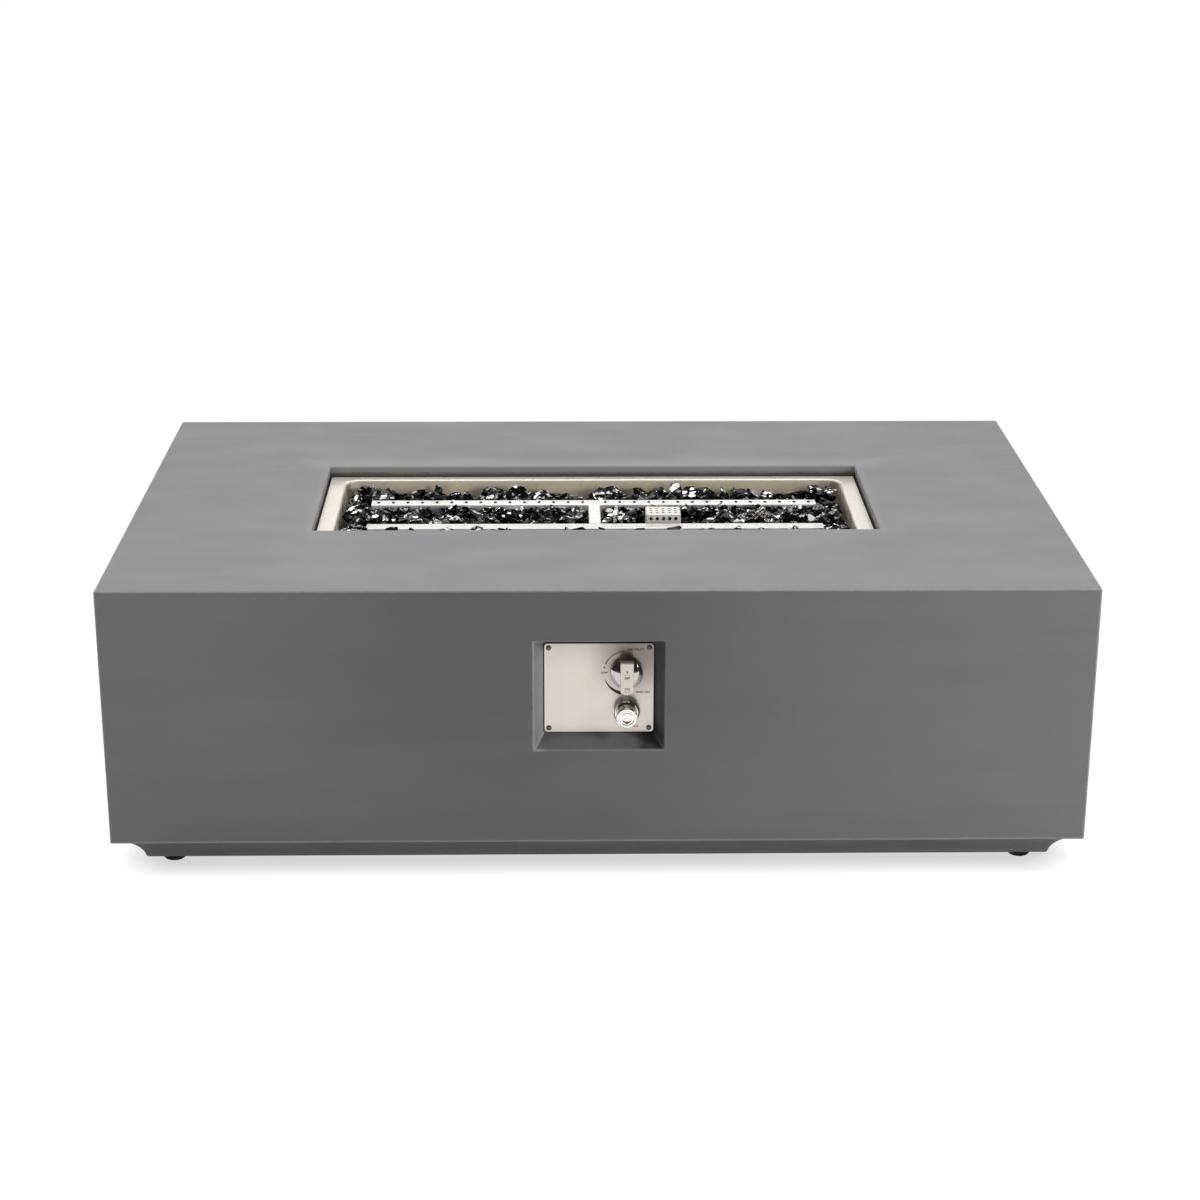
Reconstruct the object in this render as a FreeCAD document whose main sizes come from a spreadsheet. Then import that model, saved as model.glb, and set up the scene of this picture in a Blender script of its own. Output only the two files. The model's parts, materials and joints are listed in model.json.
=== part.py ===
import FreeCAD, Part
import math
import os
import Sketcher

# Gas fire pit table, in millimetres. The origin is on the ground under the middle of the table,
# +Z is up and the control recess faces -Y.

V = FreeCAD.Vector
doc = FreeCAD.newDocument("fire_pit_table")
sheet = doc.addObject("Spreadsheet::Sheet", "Sizes")
nodes = []


class Size:
    """A length with the text that keeps a property bound to the sheet."""

    def __init__(self, value, text):
        self.value = float(value)
        self.text = text

    def __add__(self, other):
        other = as_size(other)
        return Size(self.value + other.value, f"({self.text} + {other.text})")

    def __sub__(self, other):
        other = as_size(other)
        return Size(self.value - other.value, f"({self.text} - {other.text})")

    def __rsub__(self, other):
        return as_size(other) - self

    def __mul__(self, factor):
        return Size(self.value * factor, f"({self.text} * {factor})")

    def __truediv__(self, factor):
        return Size(self.value / factor, f"({self.text} / {factor})")

    def __neg__(self):
        return Size(-self.value, f"(-1 * {self.text})")

    __radd__ = __add__
    __rmul__ = __mul__


def as_size(length):
    return length if isinstance(length, Size) else Size(length, str(length))


def driving(alias, number):
    """One driving dimension: a row of the sheet, and the Size that reads it."""
    driving.row += 1
    sheet.set(f"A{driving.row}", alias)
    sheet.set(f"B{driving.row}", str(number))
    sheet.setAlias(f"B{driving.row}", alias)
    return Size(number, f"Sizes.{alias}")


driving.row = 0

# The table
table_length = driving("table_length", 1220)
table_width = driving("table_width", 765)
table_height = driving("table_height", 381)
foot_gap = driving("foot_gap", 10)
wall = driving("wall_thickness", 16)
slab = driving("slab_thickness", 18)
cove_top = driving("cove_top", 48)
cove_run = driving("cove_run", 37)
cove_radius = driving("cove_radius", 50)
base_round = driving("base_round", 7)
rim_inset = driving("rim_inset", 76)
rim_top = driving("rim_top", 66)
corner_web = driving("corner_web", 60)
edge_round = driving("edge_round", 3)
foot_inset_x = driving("foot_inset_x", 70)
foot_inset_y = driving("foot_inset_y", 62)

# The burner opening
opening_length = driving("opening_length", 737)
opening_width = driving("opening_width", 288)
rebate_depth = driving("rebate_depth", 16)
ledge_width = driving("ledge_width", 11.5)
stiffener_width = driving("stiffener_width", 34)
stiffener_depth = driving("stiffener_depth", 36)

# The control recess
recess_width = driving("recess_width", 162)
recess_tall = driving("recess_tall", 144)
recess_depth = driving("recess_depth", 31)
recess_draft = driving("recess_draft", 12.5)
recess_middle = driving("recess_middle", 243)
recess_lip = driving("recess_lip", 12)
window_width = driving("window_width", 108)
window_tall = driving("window_tall", 92)

# The pan and the burner
sheet_metal = driving("sheet_metal", 1.2)
flange_gap = driving("flange_gap", 2)
end_flange_shows = driving("end_flange_shows", 22)
long_flange_shows = driving("long_flange_shows", 14.5)
pan_depth = driving("pan_depth", 64)
pan_corner = driving("pan_corner", 19)
burner_top = driving("burner_top", 356.5)
tube_side = driving("tube_side", 22)
tube_length = driving("tube_length", 610)
tube_spacing = driving("tube_spacing", 106)
cross_width = driving("cross_width", 16)
port_width = driving("port_width", 2.3)
port_pitch = driving("port_pitch", 20)
port_middle_gap = driving("port_middle_gap", 31)
ports_each_side = 15

# The shield over the ignition parts
shield_x = driving("shield_x", 92)
shield_y = driving("shield_y", -16.5)
shield_width = driving("shield_width", 47)
shield_reach = driving("shield_reach", 35)
shield_top = driving("shield_top", 366)
lead_pitch = driving("lead_pitch", 16)

# The control panel; its own frame has x to the right, y up and z towards the user
plate_width = driving("plate_width", 135)
plate_tall = driving("plate_tall", 117)
plate_thickness = driving("plate_thickness", 1.5)
gasket_thickness = driving("gasket_thickness", 1)
plate_corner = driving("plate_corner", 4)
screw_inset = driving("screw_inset", 5.5)
knob_x = driving("knob_x", 34)
knob_y = driving("knob_y", 20.5)
igniter_x = driving("igniter_x", 34)
igniter_y = driving("igniter_y", -29.4)
knob_radius = driving("knob_radius", 20)
handle_width = driving("handle_width", 16.2)
handle_length = driving("handle_length", 42)
handle_front = driving("handle_front", 24)
button_radius = driving("button_radius", 13.2)
button_front = driving("button_front", 28.4)
valve_port_back = driving("valve_port_back", 60)
doc.recompute()

# Places that several pieces share
plate_front = recess_depth - gasket_thickness - plate_thickness - table_width / 2
panel_back = gasket_thickness + plate_thickness
ledge = table_height - rebate_depth
flange_length = opening_length - flange_gap * 2
flange_width = opening_width - flange_gap * 2
bowl_length = flange_length - end_flange_shows * 2
bowl_width = flange_width - long_flange_shows * 2
pan_floor = ledge + sheet_metal * 2 - pan_depth
pan_under = pan_floor - sheet_metal
tube_under = burner_top - tube_side
screw_x = plate_width / 2 - screw_inset
screw_y = plate_tall / 2 - screw_inset
foot_x = table_length / 2 - foot_inset_x
foot_y = table_width / 2 - foot_inset_y
elbow_axis = pan_under - 31
foot_hole_x = shield_width / 2 + 4.4
FRONT_FACING = FreeCAD.Rotation(V(1, 0, 0), 90)


def plane(body, role):
    return [feature for feature in body.Origin.OriginFeatures if feature.Role == role][0]


def new_body(label, x=0, y=0, z=0, rotation=None):
    """A body that is one node, at its place in the table."""
    body = doc.addObject("PartDesign::Body", label)
    body.Label = label
    base = [as_size(x), as_size(y), as_size(z)]
    start = V(*[length.value for length in base])
    body.Placement = FreeCAD.Placement(start, rotation or FreeCAD.Rotation())
    for letter, length in zip("xyz", base):
        bind(body, f"Placement.Base.{letter}", length)
    nodes.append(body)
    return body


def panel_body(label, x=0, y=0):
    """A body in the control panel's frame, x right and y up from the middle of the plate."""
    return new_body(label, x, plate_front, recess_middle + y, FRONT_FACING)


def bind(item, path, length):
    """Keep a property at a length of the sheet."""
    length = as_size(length)
    if "Sizes." in length.text:
        item.setExpression(path, length.text)


def new_sketch(body, role, offset=0):
    """A sketch on one of the body's own origin planes, offset along the plane's normal."""
    sketch = body.newObject("Sketcher::SketchObject", f"{body.Label}_sketch")
    sketch.AttachmentSupport = [(plane(body, role), "")]
    sketch.MapMode = "FlatFace"
    offset = as_size(offset)
    sketch.AttachmentOffset = FreeCAD.Placement(V(0, 0, offset.value), FreeCAD.Rotation())
    bind(sketch, "AttachmentOffset.Base.z", offset)
    return sketch


def dimension(sketch, kind, references, length):
    length = as_size(length)
    index = sketch.addConstraint(Sketcher.Constraint(kind, *references, length.value))
    bind(sketch, f"Constraints[{index}]", length)


def fix_point(sketch, edge, end, x, y):
    for kind, length, axis in (("DistanceX", as_size(x), -2), ("DistanceY", as_size(y), -1)):
        if length.text == "0":
            sketch.addConstraint(Sketcher.Constraint("PointOnObject", edge, end, axis))
        else:
            dimension(sketch, kind, (-1, 1, edge, end), length)


def circle(sketch, radius, x=0, y=0):
    radius = as_size(radius)
    middle = V(as_size(x).value, as_size(y).value, 0)
    edge = sketch.addGeometry(Part.Circle(middle, V(0, 0, 1), radius.value))
    dimension(sketch, "Radius", (edge,), radius)
    fix_point(sketch, edge, 3, x, y)
    return sketch


def arc_between(start, end, radius):
    """The arc under half a circle from start to end; a positive radius turns left."""
    chord = end - start
    left = V(-chord.y, chord.x, 0).normalize()
    rise = math.sqrt(max(radius ** 2 - (chord.Length / 2) ** 2, 0))
    middle = (start + end) / 2 + left * math.copysign(rise, radius)
    first, last = (start, end) if radius > 0 else (end, start)
    angles = [math.atan2(point.y - middle.y, point.x - middle.x) for point in (first, last)]
    if angles[1] < angles[0]:
        angles[1] += 2 * math.pi
    return Part.ArcOfCircle(Part.Circle(middle, V(0, 0, 1), abs(radius)), *angles)


def outline(sketch, points, closed=True):
    """An outline through the points. A third value is the radius of the arc that leads to that
    point, positive where it turns left and negative where it turns right."""
    points = [[as_size(value) for value in point] for point in points]
    pairs = list(zip(points, points[1:] + points[:1]))
    pairs = pairs if closed else pairs[:-1]
    edges = []
    for here, there in pairs:
        start = V(here[0].value, here[1].value, 0)
        end = V(there[0].value, there[1].value, 0)
        if len(there) == 2:
            edges.append((sketch.addGeometry(Part.LineSegment(start, end)), 1, 2))
            continue
        edge = sketch.addGeometry(arc_between(start, end, there[2].value))
        forward = there[2].value > 0
        edges.append((edge, 1, 2) if forward else (edge, 2, 1))
    for (edge, first, last), (after, start, end) in zip(edges, edges[1:] + edges[:closed]):
        sketch.addConstraint(Sketcher.Constraint("Coincident", edge, last, after, start))
    for (edge, first, last), (here, there) in zip(edges, pairs):
        fix_point(sketch, edge, first, here[0], here[1])
        if len(there) == 3:
            radius = there[2] if there[2].value > 0 else -there[2]
            dimension(sketch, "Radius", (edge,), radius)
    if not closed:
        fix_point(sketch, edges[-1][0], edges[-1][2], points[-1][0], points[-1][1])
    return sketch


def rectangle(sketch, wide, tall, x=0, y=0):
    left = x - as_size(wide) / 2
    low = y - as_size(tall) / 2
    return outline(sketch, [(left, low), (left + wide, low), (left + wide, low + tall), (left, low + tall)])


def rounded_rectangle(sketch, wide, tall, radius, x=0, y=0):
    left = x - as_size(wide) / 2
    low = y - as_size(tall) / 2
    right = left + wide
    high = low + tall
    return outline(sketch, [
        (right - radius, low), (right, low + radius, radius),
        (right, high - radius), (right - radius, high, radius),
        (left + radius, high), (left, high - radius, radius),
        (left, low + radius), (left + radius, low, radius)])


def hexagon(sketch, across_flats, x=0, y=0):
    x = as_size(x)
    y = as_size(y)
    half = as_size(across_flats) / 2
    corner = as_size(across_flats) / math.sqrt(3)
    return outline(sketch, [
        (x + half, y - corner / 2), (x + half, y + corner / 2), (x, y + corner),
        (x - half, y + corner / 2), (x - half, y - corner / 2), (x, y - corner)])


def feature(body, kind, sketch, length=None, reverse=False, both=False):
    item = body.newObject(f"PartDesign::{kind}", f"{body.Label}_{kind.lower()}")
    item.Profile = sketch
    if length is None:
        item.Type = "ThroughAll"
    else:
        item.Length = as_size(length).value
        bind(item, "Length", length)
    item.Reversed = reverse
    item.SideType = "Symmetric" if both else "One side"
    body.Tip = item
    return item


def pad(body, sketch, length, reverse=False, both=False):
    item = feature(body, "Pad", sketch, length, reverse, both)
    doc.recompute()
    return item


def pocket(body, sketch, length=None, reverse=False, both=False):
    """Cut the sketch out of the body, and stop if the cut has met nothing."""
    before = body.Shape.Volume
    item = feature(body, "Pocket", sketch, length, reverse, both)
    doc.recompute()
    if body.Shape.Volume > before - 1e-3:
        raise RuntimeError(f"a pocket of {body.Label} cuts nothing")
    return item


def turned(body, points):
    """Revolve a profile of (radius, height) points about the body's own Z axis."""
    sketch = outline(new_sketch(body, "XZ_Plane"), points)
    item = body.newObject("PartDesign::Revolution", f"{body.Label}_revolution")
    item.Profile = sketch
    item.ReferenceAxis = (sketch, ["V_Axis"])
    item.Angle = 360
    body.Tip = item
    doc.recompute()
    return item


def round_edges(body, radius, chosen):
    """Fillet the edges that the test picks by their box."""
    base = body.Tip
    names = [f"Edge{number + 1}" for number, edge in enumerate(base.Shape.Edges) if chosen(edge)]
    item = body.newObject("PartDesign::Fillet", f"{body.Label}_fillet")
    item.Base = (base, names)
    item.Radius = as_size(radius).value
    bind(item, "Radius", radius)
    body.Tip = item
    doc.recompute()
    return item


def lies_at(edge, place, axis="Z"):
    """True where the whole edge lies at one coordinate along the axis."""
    box = edge.BoundBox
    place = as_size(place).value
    return abs(getattr(box, axis + "Min") - place) < 1e-3 and abs(getattr(box, axis + "Max") - place) < 1e-3


def upright(edge):
    box = edge.BoundBox
    return box.ZLength > 1e-3 and box.XLength < 1e-3 and box.YLength < 1e-3


def repeat(body, original, *steps):
    """Repeat a feature. Each step is a plane to mirror in, or (axis, number, length)."""
    pattern = body.newObject("PartDesign::MultiTransform", f"{body.Label}_pattern")
    transformations = []
    for step in steps:
        if isinstance(step, str):
            item = body.newObject("PartDesign::Mirrored", f"{body.Label}_mirror")
            item.MirrorPlane = (plane(body, step), [""])
        else:
            axis, number, length = step
            item = body.newObject("PartDesign::LinearPattern", f"{body.Label}_row")
            item.Direction = (plane(body, axis), [""])
            item.Occurrences = number
            item.Length = as_size(length).value
            bind(item, "Length", length)
        transformations.append(item)
    pattern.Originals = [original]
    pattern.Transformations = transformations
    body.Tip = pattern
    doc.recompute()
    return pattern


def follow(body, kind, profile, spine):
    """Sweep a profile along a spine sketch, to add or to take away."""
    item = body.newObject(f"PartDesign::{kind}", f"{body.Label}_sweep")
    item.Profile = profile
    item.Spine = spine
    body.Tip = item
    doc.recompute()
    return item


def bend_path(sketch, upright, level, bend):
    """An open path: along the sketch's vertical axis, round a quarter bend at the origin, and out
    along its horizontal axis. The signs of the two ends say which way each leg points."""
    side_up = math.copysign(1, upright.value)
    side_level = math.copysign(1, level.value)
    return outline(sketch, [
        (0, upright), (0, bend * side_up),
        (bend * side_level, 0, bend * side_up * side_level), (level, 0)], closed=False)


def four_sides(body, feature_made):
    return repeat(body, feature_made, "YZ_Plane", "XZ_Plane")


def holes(sketch, radius, places):
    for x, y in places:
        circle(sketch, radius, x, y)
    return sketch


def corners_of(x, y):
    return [(x, y), (-x, y), (-x, -y), (x, -y)]


def table_shell():
    """One cast shell: a cove under its sides, a ledge in its top opening, a drafted recess in its front."""
    body = new_body("table_shell")
    block = rectangle(new_sketch(body, "XY_Plane", foot_gap), table_length, table_width)
    pad(body, block, table_height - foot_gap)
    round_edges(body, edge_round, upright)

    # The cove runs along all four sides and mitres at the corners, where the two cuts cross.
    for role, span, run in (("XZ_Plane", table_length, table_width), ("YZ_Plane", table_width, table_length)):
        for side in (1, -1):
            edge = span * side / 2
            inward = -side
            sketch = outline(new_sketch(body, role), [
                (edge, cove_top),
                (edge + cove_run * inward, foot_gap + base_round, cove_radius * side),
                (edge + (cove_run + base_round) * inward, foot_gap, base_round * -side),
                (edge + (cove_run + base_round) * inward, 0),
                (edge + cove_run * side, 0),
                (edge + cove_run * side, cove_top)])
            pocket(body, sketch, run * 1.1, both=True)

    # Hollow inside, with a rim round the bottom and a web across each corner that takes a foot.
    hollow = rectangle(new_sketch(body, "XY_Plane", rim_top), table_length - wall * 2, table_width - wall * 2)
    pocket(body, hollow, table_height - slab - rim_top, reverse=True)
    half_x = table_length / 2 - rim_inset
    half_y = table_width / 2 - rim_inset
    low_opening = outline(new_sketch(body, "XY_Plane", foot_gap), [
        (half_x, -half_y + corner_web), (half_x, half_y - corner_web),
        (half_x - corner_web, half_y), (-half_x + corner_web, half_y),
        (-half_x, half_y - corner_web), (-half_x, -half_y + corner_web),
        (-half_x + corner_web, -half_y), (half_x - corner_web, -half_y)])
    pocket(body, low_opening, rim_top - foot_gap, reverse=True)

    # The burner opening, its ledge, and the stiffener that hangs round it.
    stiffener = rectangle(new_sketch(body, "XY_Plane", table_height - stiffener_depth),
                          opening_length + stiffener_width, opening_width + stiffener_width)
    pad(body, stiffener, stiffener_depth)
    through = rectangle(new_sketch(body, "XY_Plane", table_height),
                        opening_length - ledge_width * 2, opening_width - ledge_width * 2)
    pocket(body, through, stiffener_depth)
    rebate = rectangle(new_sketch(body, "XY_Plane", table_height), opening_length, opening_width)
    pocket(body, rebate, rebate_depth)

    # The control recess: a thicker patch of wall, four drafted sides, a lip and a window.
    front = table_width / 2
    patch = rectangle(new_sketch(body, "XZ_Plane", front - recess_depth - recess_lip),
                      recess_width + wall * 2, recess_tall + wall * 2, y=recess_middle)
    pad(body, patch, recess_depth + recess_lip - wall)
    mouth = rectangle(new_sketch(body, "XZ_Plane", front), recess_width, recess_tall, y=recess_middle)
    floor = rectangle(new_sketch(body, "XZ_Plane", front - recess_depth),
                      recess_width - recess_draft * 2, recess_tall - recess_draft * 2, y=recess_middle)
    recess = body.newObject("PartDesign::SubtractiveLoft", "control_recess")
    recess.Profile = mouth
    recess.Sections = [floor]
    body.Tip = recess
    doc.recompute()
    window = rounded_rectangle(new_sketch(body, "XZ_Plane", front - recess_depth),
                               window_width, window_tall, 6, y=recess_middle)
    pocket(body, window, recess_lip + 1)
    lip_holes = new_sketch(body, "XZ_Plane", front - recess_depth)
    holes(lip_holes, 2.2, [(x, recess_middle + y) for x, y in corners_of(screw_x, screw_y)])
    pocket(body, lip_holes, recess_lip + 1)

    insert_holes = new_sketch(body, "XY_Plane", foot_gap)
    holes(insert_holes, 6, corners_of(foot_x, foot_y))
    pocket(body, insert_holes, 28, reverse=True)

    # The cast edges that show are rounded: the top, the mouth of the burner opening and the recess.
    def shows(edge):
        box = edge.BoundBox
        outer = lies_at(edge, table_height) and box.DiagonalLength > 100
        corner = lies_at(edge, table_height) and abs(box.XMax) > table_length.value / 2 - 10
        return outer or corner
    round_edges(body, edge_round, shows)
    mouth_half = recess_width.value / 2

    def recess_corner(edge):
        box = edge.BoundBox
        drafted = abs(box.YLength - recess_depth.value) < 0.1 and box.XLength > 5
        return drafted and max(box.XMax, -box.XMin) < mouth_half + 1
    round_edges(body, 3, recess_corner)
    round_edges(body, 1.5, lambda edge: lies_at(edge, -front, axis="Y") and edge.BoundBox.XMax < mouth_half + 1
                and edge.BoundBox.XMin > -mouth_half - 1)


def feet():
    """Threaded inserts in the corner webs, and a black foot on a threaded stem in each."""
    insert = new_body("foot_inserts", z=foot_gap)
    ring = circle(circle(new_sketch(insert, "XY_Plane"), 5.95, foot_x, foot_y), 4.05, foot_x, foot_y)
    four_sides(insert, pad(insert, ring, 25))
    for end, y in (("front", -foot_y), ("rear", foot_y)):
        for side, x in (("left", -foot_x), ("right", foot_x)):
            foot = new_body(f"foot_pad_{end}_{side}", x, y)
            turned(foot, [(0, 0), (9.5, 0), (15, 5.5, 5.5), (15, foot_gap - 0.3), (4.1, foot_gap - 0.3),
                          (4.1, 3.5), (0, 3.5)])
            stem = new_body(f"foot_stem_{end}_{side}", x, y)
            turned(stem, [(0, 3.5), (4, 3.5), (4, foot_gap + 23), (3, foot_gap + 24), (0, foot_gap + 24)])


def burner_pan():
    """A drop-in stainless pan: a flange on the ledge, a rolled edge, and a drawn bowl."""
    pan = new_body("burner_pan", z=ledge)
    pad(pan, rectangle(new_sketch(pan, "XY_Plane"), flange_length, flange_width), sheet_metal)
    skin = rounded_rectangle(new_sketch(pan, "XY_Plane"), bowl_length + sheet_metal * 2,
                             bowl_width + sheet_metal * 2, pan_corner + sheet_metal)
    pad(pan, skin, pan_depth - sheet_metal, reverse=True)
    bowl = rounded_rectangle(new_sketch(pan, "XY_Plane", sheet_metal), bowl_length, bowl_width, pan_corner)
    pocket(pan, bowl, pan_depth - sheet_metal)

    def round_bowl(edge, height):
        box = edge.BoundBox
        return lies_at(edge, height) and max(box.XMax, -box.XMin) < bowl_length.value / 2 + 3
    round_edges(pan, 2.8, lambda edge: round_bowl(edge, 0))
    round_edges(pan, sheet_metal + 2.8, lambda edge: round_bowl(edge, sheet_metal))
    round_edges(pan, 6, lambda edge: lies_at(edge, sheet_metal * 2 - pan_depth))
    round_edges(pan, sheet_metal + 6, lambda edge: lies_at(edge, sheet_metal - pan_depth))
    drains = holes(new_sketch(pan, "XY_Plane"), 4, corners_of(bowl_length * 0.36, bowl_width * 0.42))
    circle(drains, 8.6)
    for side in (-1, 1):
        circle(drains, 5.05, shield_x + lead_pitch * side / 2, shield_y)
        circle(drains, 1.7, shield_x + foot_hole_x * side, shield_y)
    circle(drains, 1.7, shield_x, shield_y + 14)
    pocket(pan, drains, pan_depth * 2)


def burner():
    """The H burner: two ported tubes and a cross tube, on four stands, fed through the middle."""
    middle = burner_top - tube_side / 2
    bore = tube_side - sheet_metal * 2
    for label, side in (("burner_rear_tube", 1), ("burner_front_tube", -1)):
        tube = new_body(label, y=tube_spacing * side / 2, z=middle)
        rounded_rectangle(new_sketch(tube, "YZ_Plane"), tube_side, tube_side, 2)
        pad(tube, tube.Group[-1], tube_length, both=True)
        hollow = rectangle(new_sketch(tube, "YZ_Plane"), bore, bore)
        pocket(tube, hollow, tube_length + 2, both=True)
        inlet = rectangle(new_sketch(tube, "XZ_Plane"), 12, 15)
        pocket(tube, inlet, tube_side / 2 + 1, reverse=side < 0)
        if side < 0:
            lighting = new_sketch(tube, "XZ_Plane")
            for place in (-1, 0, 1):
                circle(lighting, port_width / 2, shield_x + place * 8, 4)
            pocket(tube, lighting, tube_side / 2 + 1, reverse=True)
        port = circle(new_sketch(tube, "XY_Plane", tube_side / 2 + 1), port_width / 2, port_middle_gap / 2)
        first_port = pocket(tube, port, 4)
        repeat(tube, first_port, ("X_Axis", ports_each_side, port_pitch * (ports_each_side - 1)), "YZ_Plane")
    caps = new_body("burner_end_caps", z=middle)
    cap = rectangle(new_sketch(caps, "YZ_Plane", tube_length / 2 - 1.5), bore - 0.1, bore - 0.1, x=tube_spacing / 2)
    four_sides(caps, pad(caps, cap, 1.5))

    cross = new_body("burner_cross_tube", z=middle)
    rounded_rectangle(new_sketch(cross, "XZ_Plane"), cross_width, tube_side, 1.5)
    pad(cross, cross.Group[-1], tube_spacing - tube_side, both=True)
    cross_bore = rectangle(new_sketch(cross, "XZ_Plane"), cross_width - sheet_metal * 2, bore)
    pocket(cross, cross_bore, tube_spacing, both=True)
    pocket(cross, circle(new_sketch(cross, "XY_Plane"), 6), tube_side)

    stands = new_body("burner_stands", z=pan_floor)
    rise = tube_under - pan_floor
    metal = 1.5
    bracket = outline(new_sketch(stands, "XZ_Plane", tube_spacing / 2), [
        (292, 0), (292, metal), (278, metal), (278, rise), (264, rise), (264, rise - metal),
        (278 - metal, rise - metal), (278 - metal, 0)])
    four_sides(stands, pad(stands, bracket, 20, both=True))

    nipple = new_body("burner_nipple", z=tube_under)
    turned(nipple, [(6, -4), (6, 0), (13, 0), (13, -4), (8.3, -4), (8.3, elbow_axis - tube_under + 17),
                    (6, elbow_axis - tube_under + 17)])
    nuts = new_body("burner_locknuts", z=pan_floor)
    for start in (as_size(0), -sheet_metal - 6):
        sketch = circle(hexagon(new_sketch(nuts, "XY_Plane", start), 24), 8.35)
        pad(nuts, sketch, 6)


def pipe_elbow(body, role, upright, level, bend, outer, inner):
    """A bent fitting: an outer sweep along an L-shaped path, and its bore along the same path."""
    spine = bend_path(new_sketch(body, role), upright, level, bend)
    profile = circle(new_sketch(body, "XY_Plane", upright), outer)
    follow(body, "AdditivePipe", profile, spine)
    follow(body, "SubtractivePipe", circle(new_sketch(body, "XY_Plane", upright), inner), spine)


def burner_feed():
    """Under the pan: an elbow, the air mixer with its side slots, and the gas orifice."""
    elbow = new_body("burner_elbow", z=elbow_axis)
    pipe_elbow(elbow, "YZ_Plane", as_size(24), as_size(-30), as_size(14), as_size(11), as_size(6))
    for role, start, reverse in (("XY_Plane", as_size(24), True), ("XZ_Plane", as_size(30), True)):
        collar = circle(new_sketch(elbow, role, start), 12.5)
        pad(elbow, collar, 9, reverse=reverse)
        pocket(elbow, circle(new_sketch(elbow, role, start), 8.35), 8)
        pocket(elbow, circle(new_sketch(elbow, role, start), 6), 16)

    mixer = new_body("air_mixer", y=-22, z=elbow_axis, rotation=FRONT_FACING)
    turned(mixer, [(6.6, 0), (8.3, 0), (8.3, 9), (11, 9), (11, 72), (6.6, 72)])
    slot = rounded_rectangle(new_sketch(mixer, "XZ_Plane"), 8, 26, 3.9, y=42)
    pocket(mixer, slot, 30, both=True)
    slot = rounded_rectangle(new_sketch(mixer, "YZ_Plane"), 8, 26, 3.9, y=42)
    pocket(mixer, slot, 30, both=True)

    orifice = new_body("gas_orifice", y=-22, z=elbow_axis, rotation=FRONT_FACING)
    turned(orifice, [(0.9, 60), (3, 60), (3, 63), (6.5, 63), (6.5, 72), (8, 72), (8, 79), (6.35, 79),
                     (6.35, 87), (5.2, 89), (2.5, 89), (2.5, 64), (0.9, 62)])
    pad(orifice, circle(hexagon(new_sketch(orifice, "XY_Plane", 72), 19), 7.9), 7)


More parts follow.
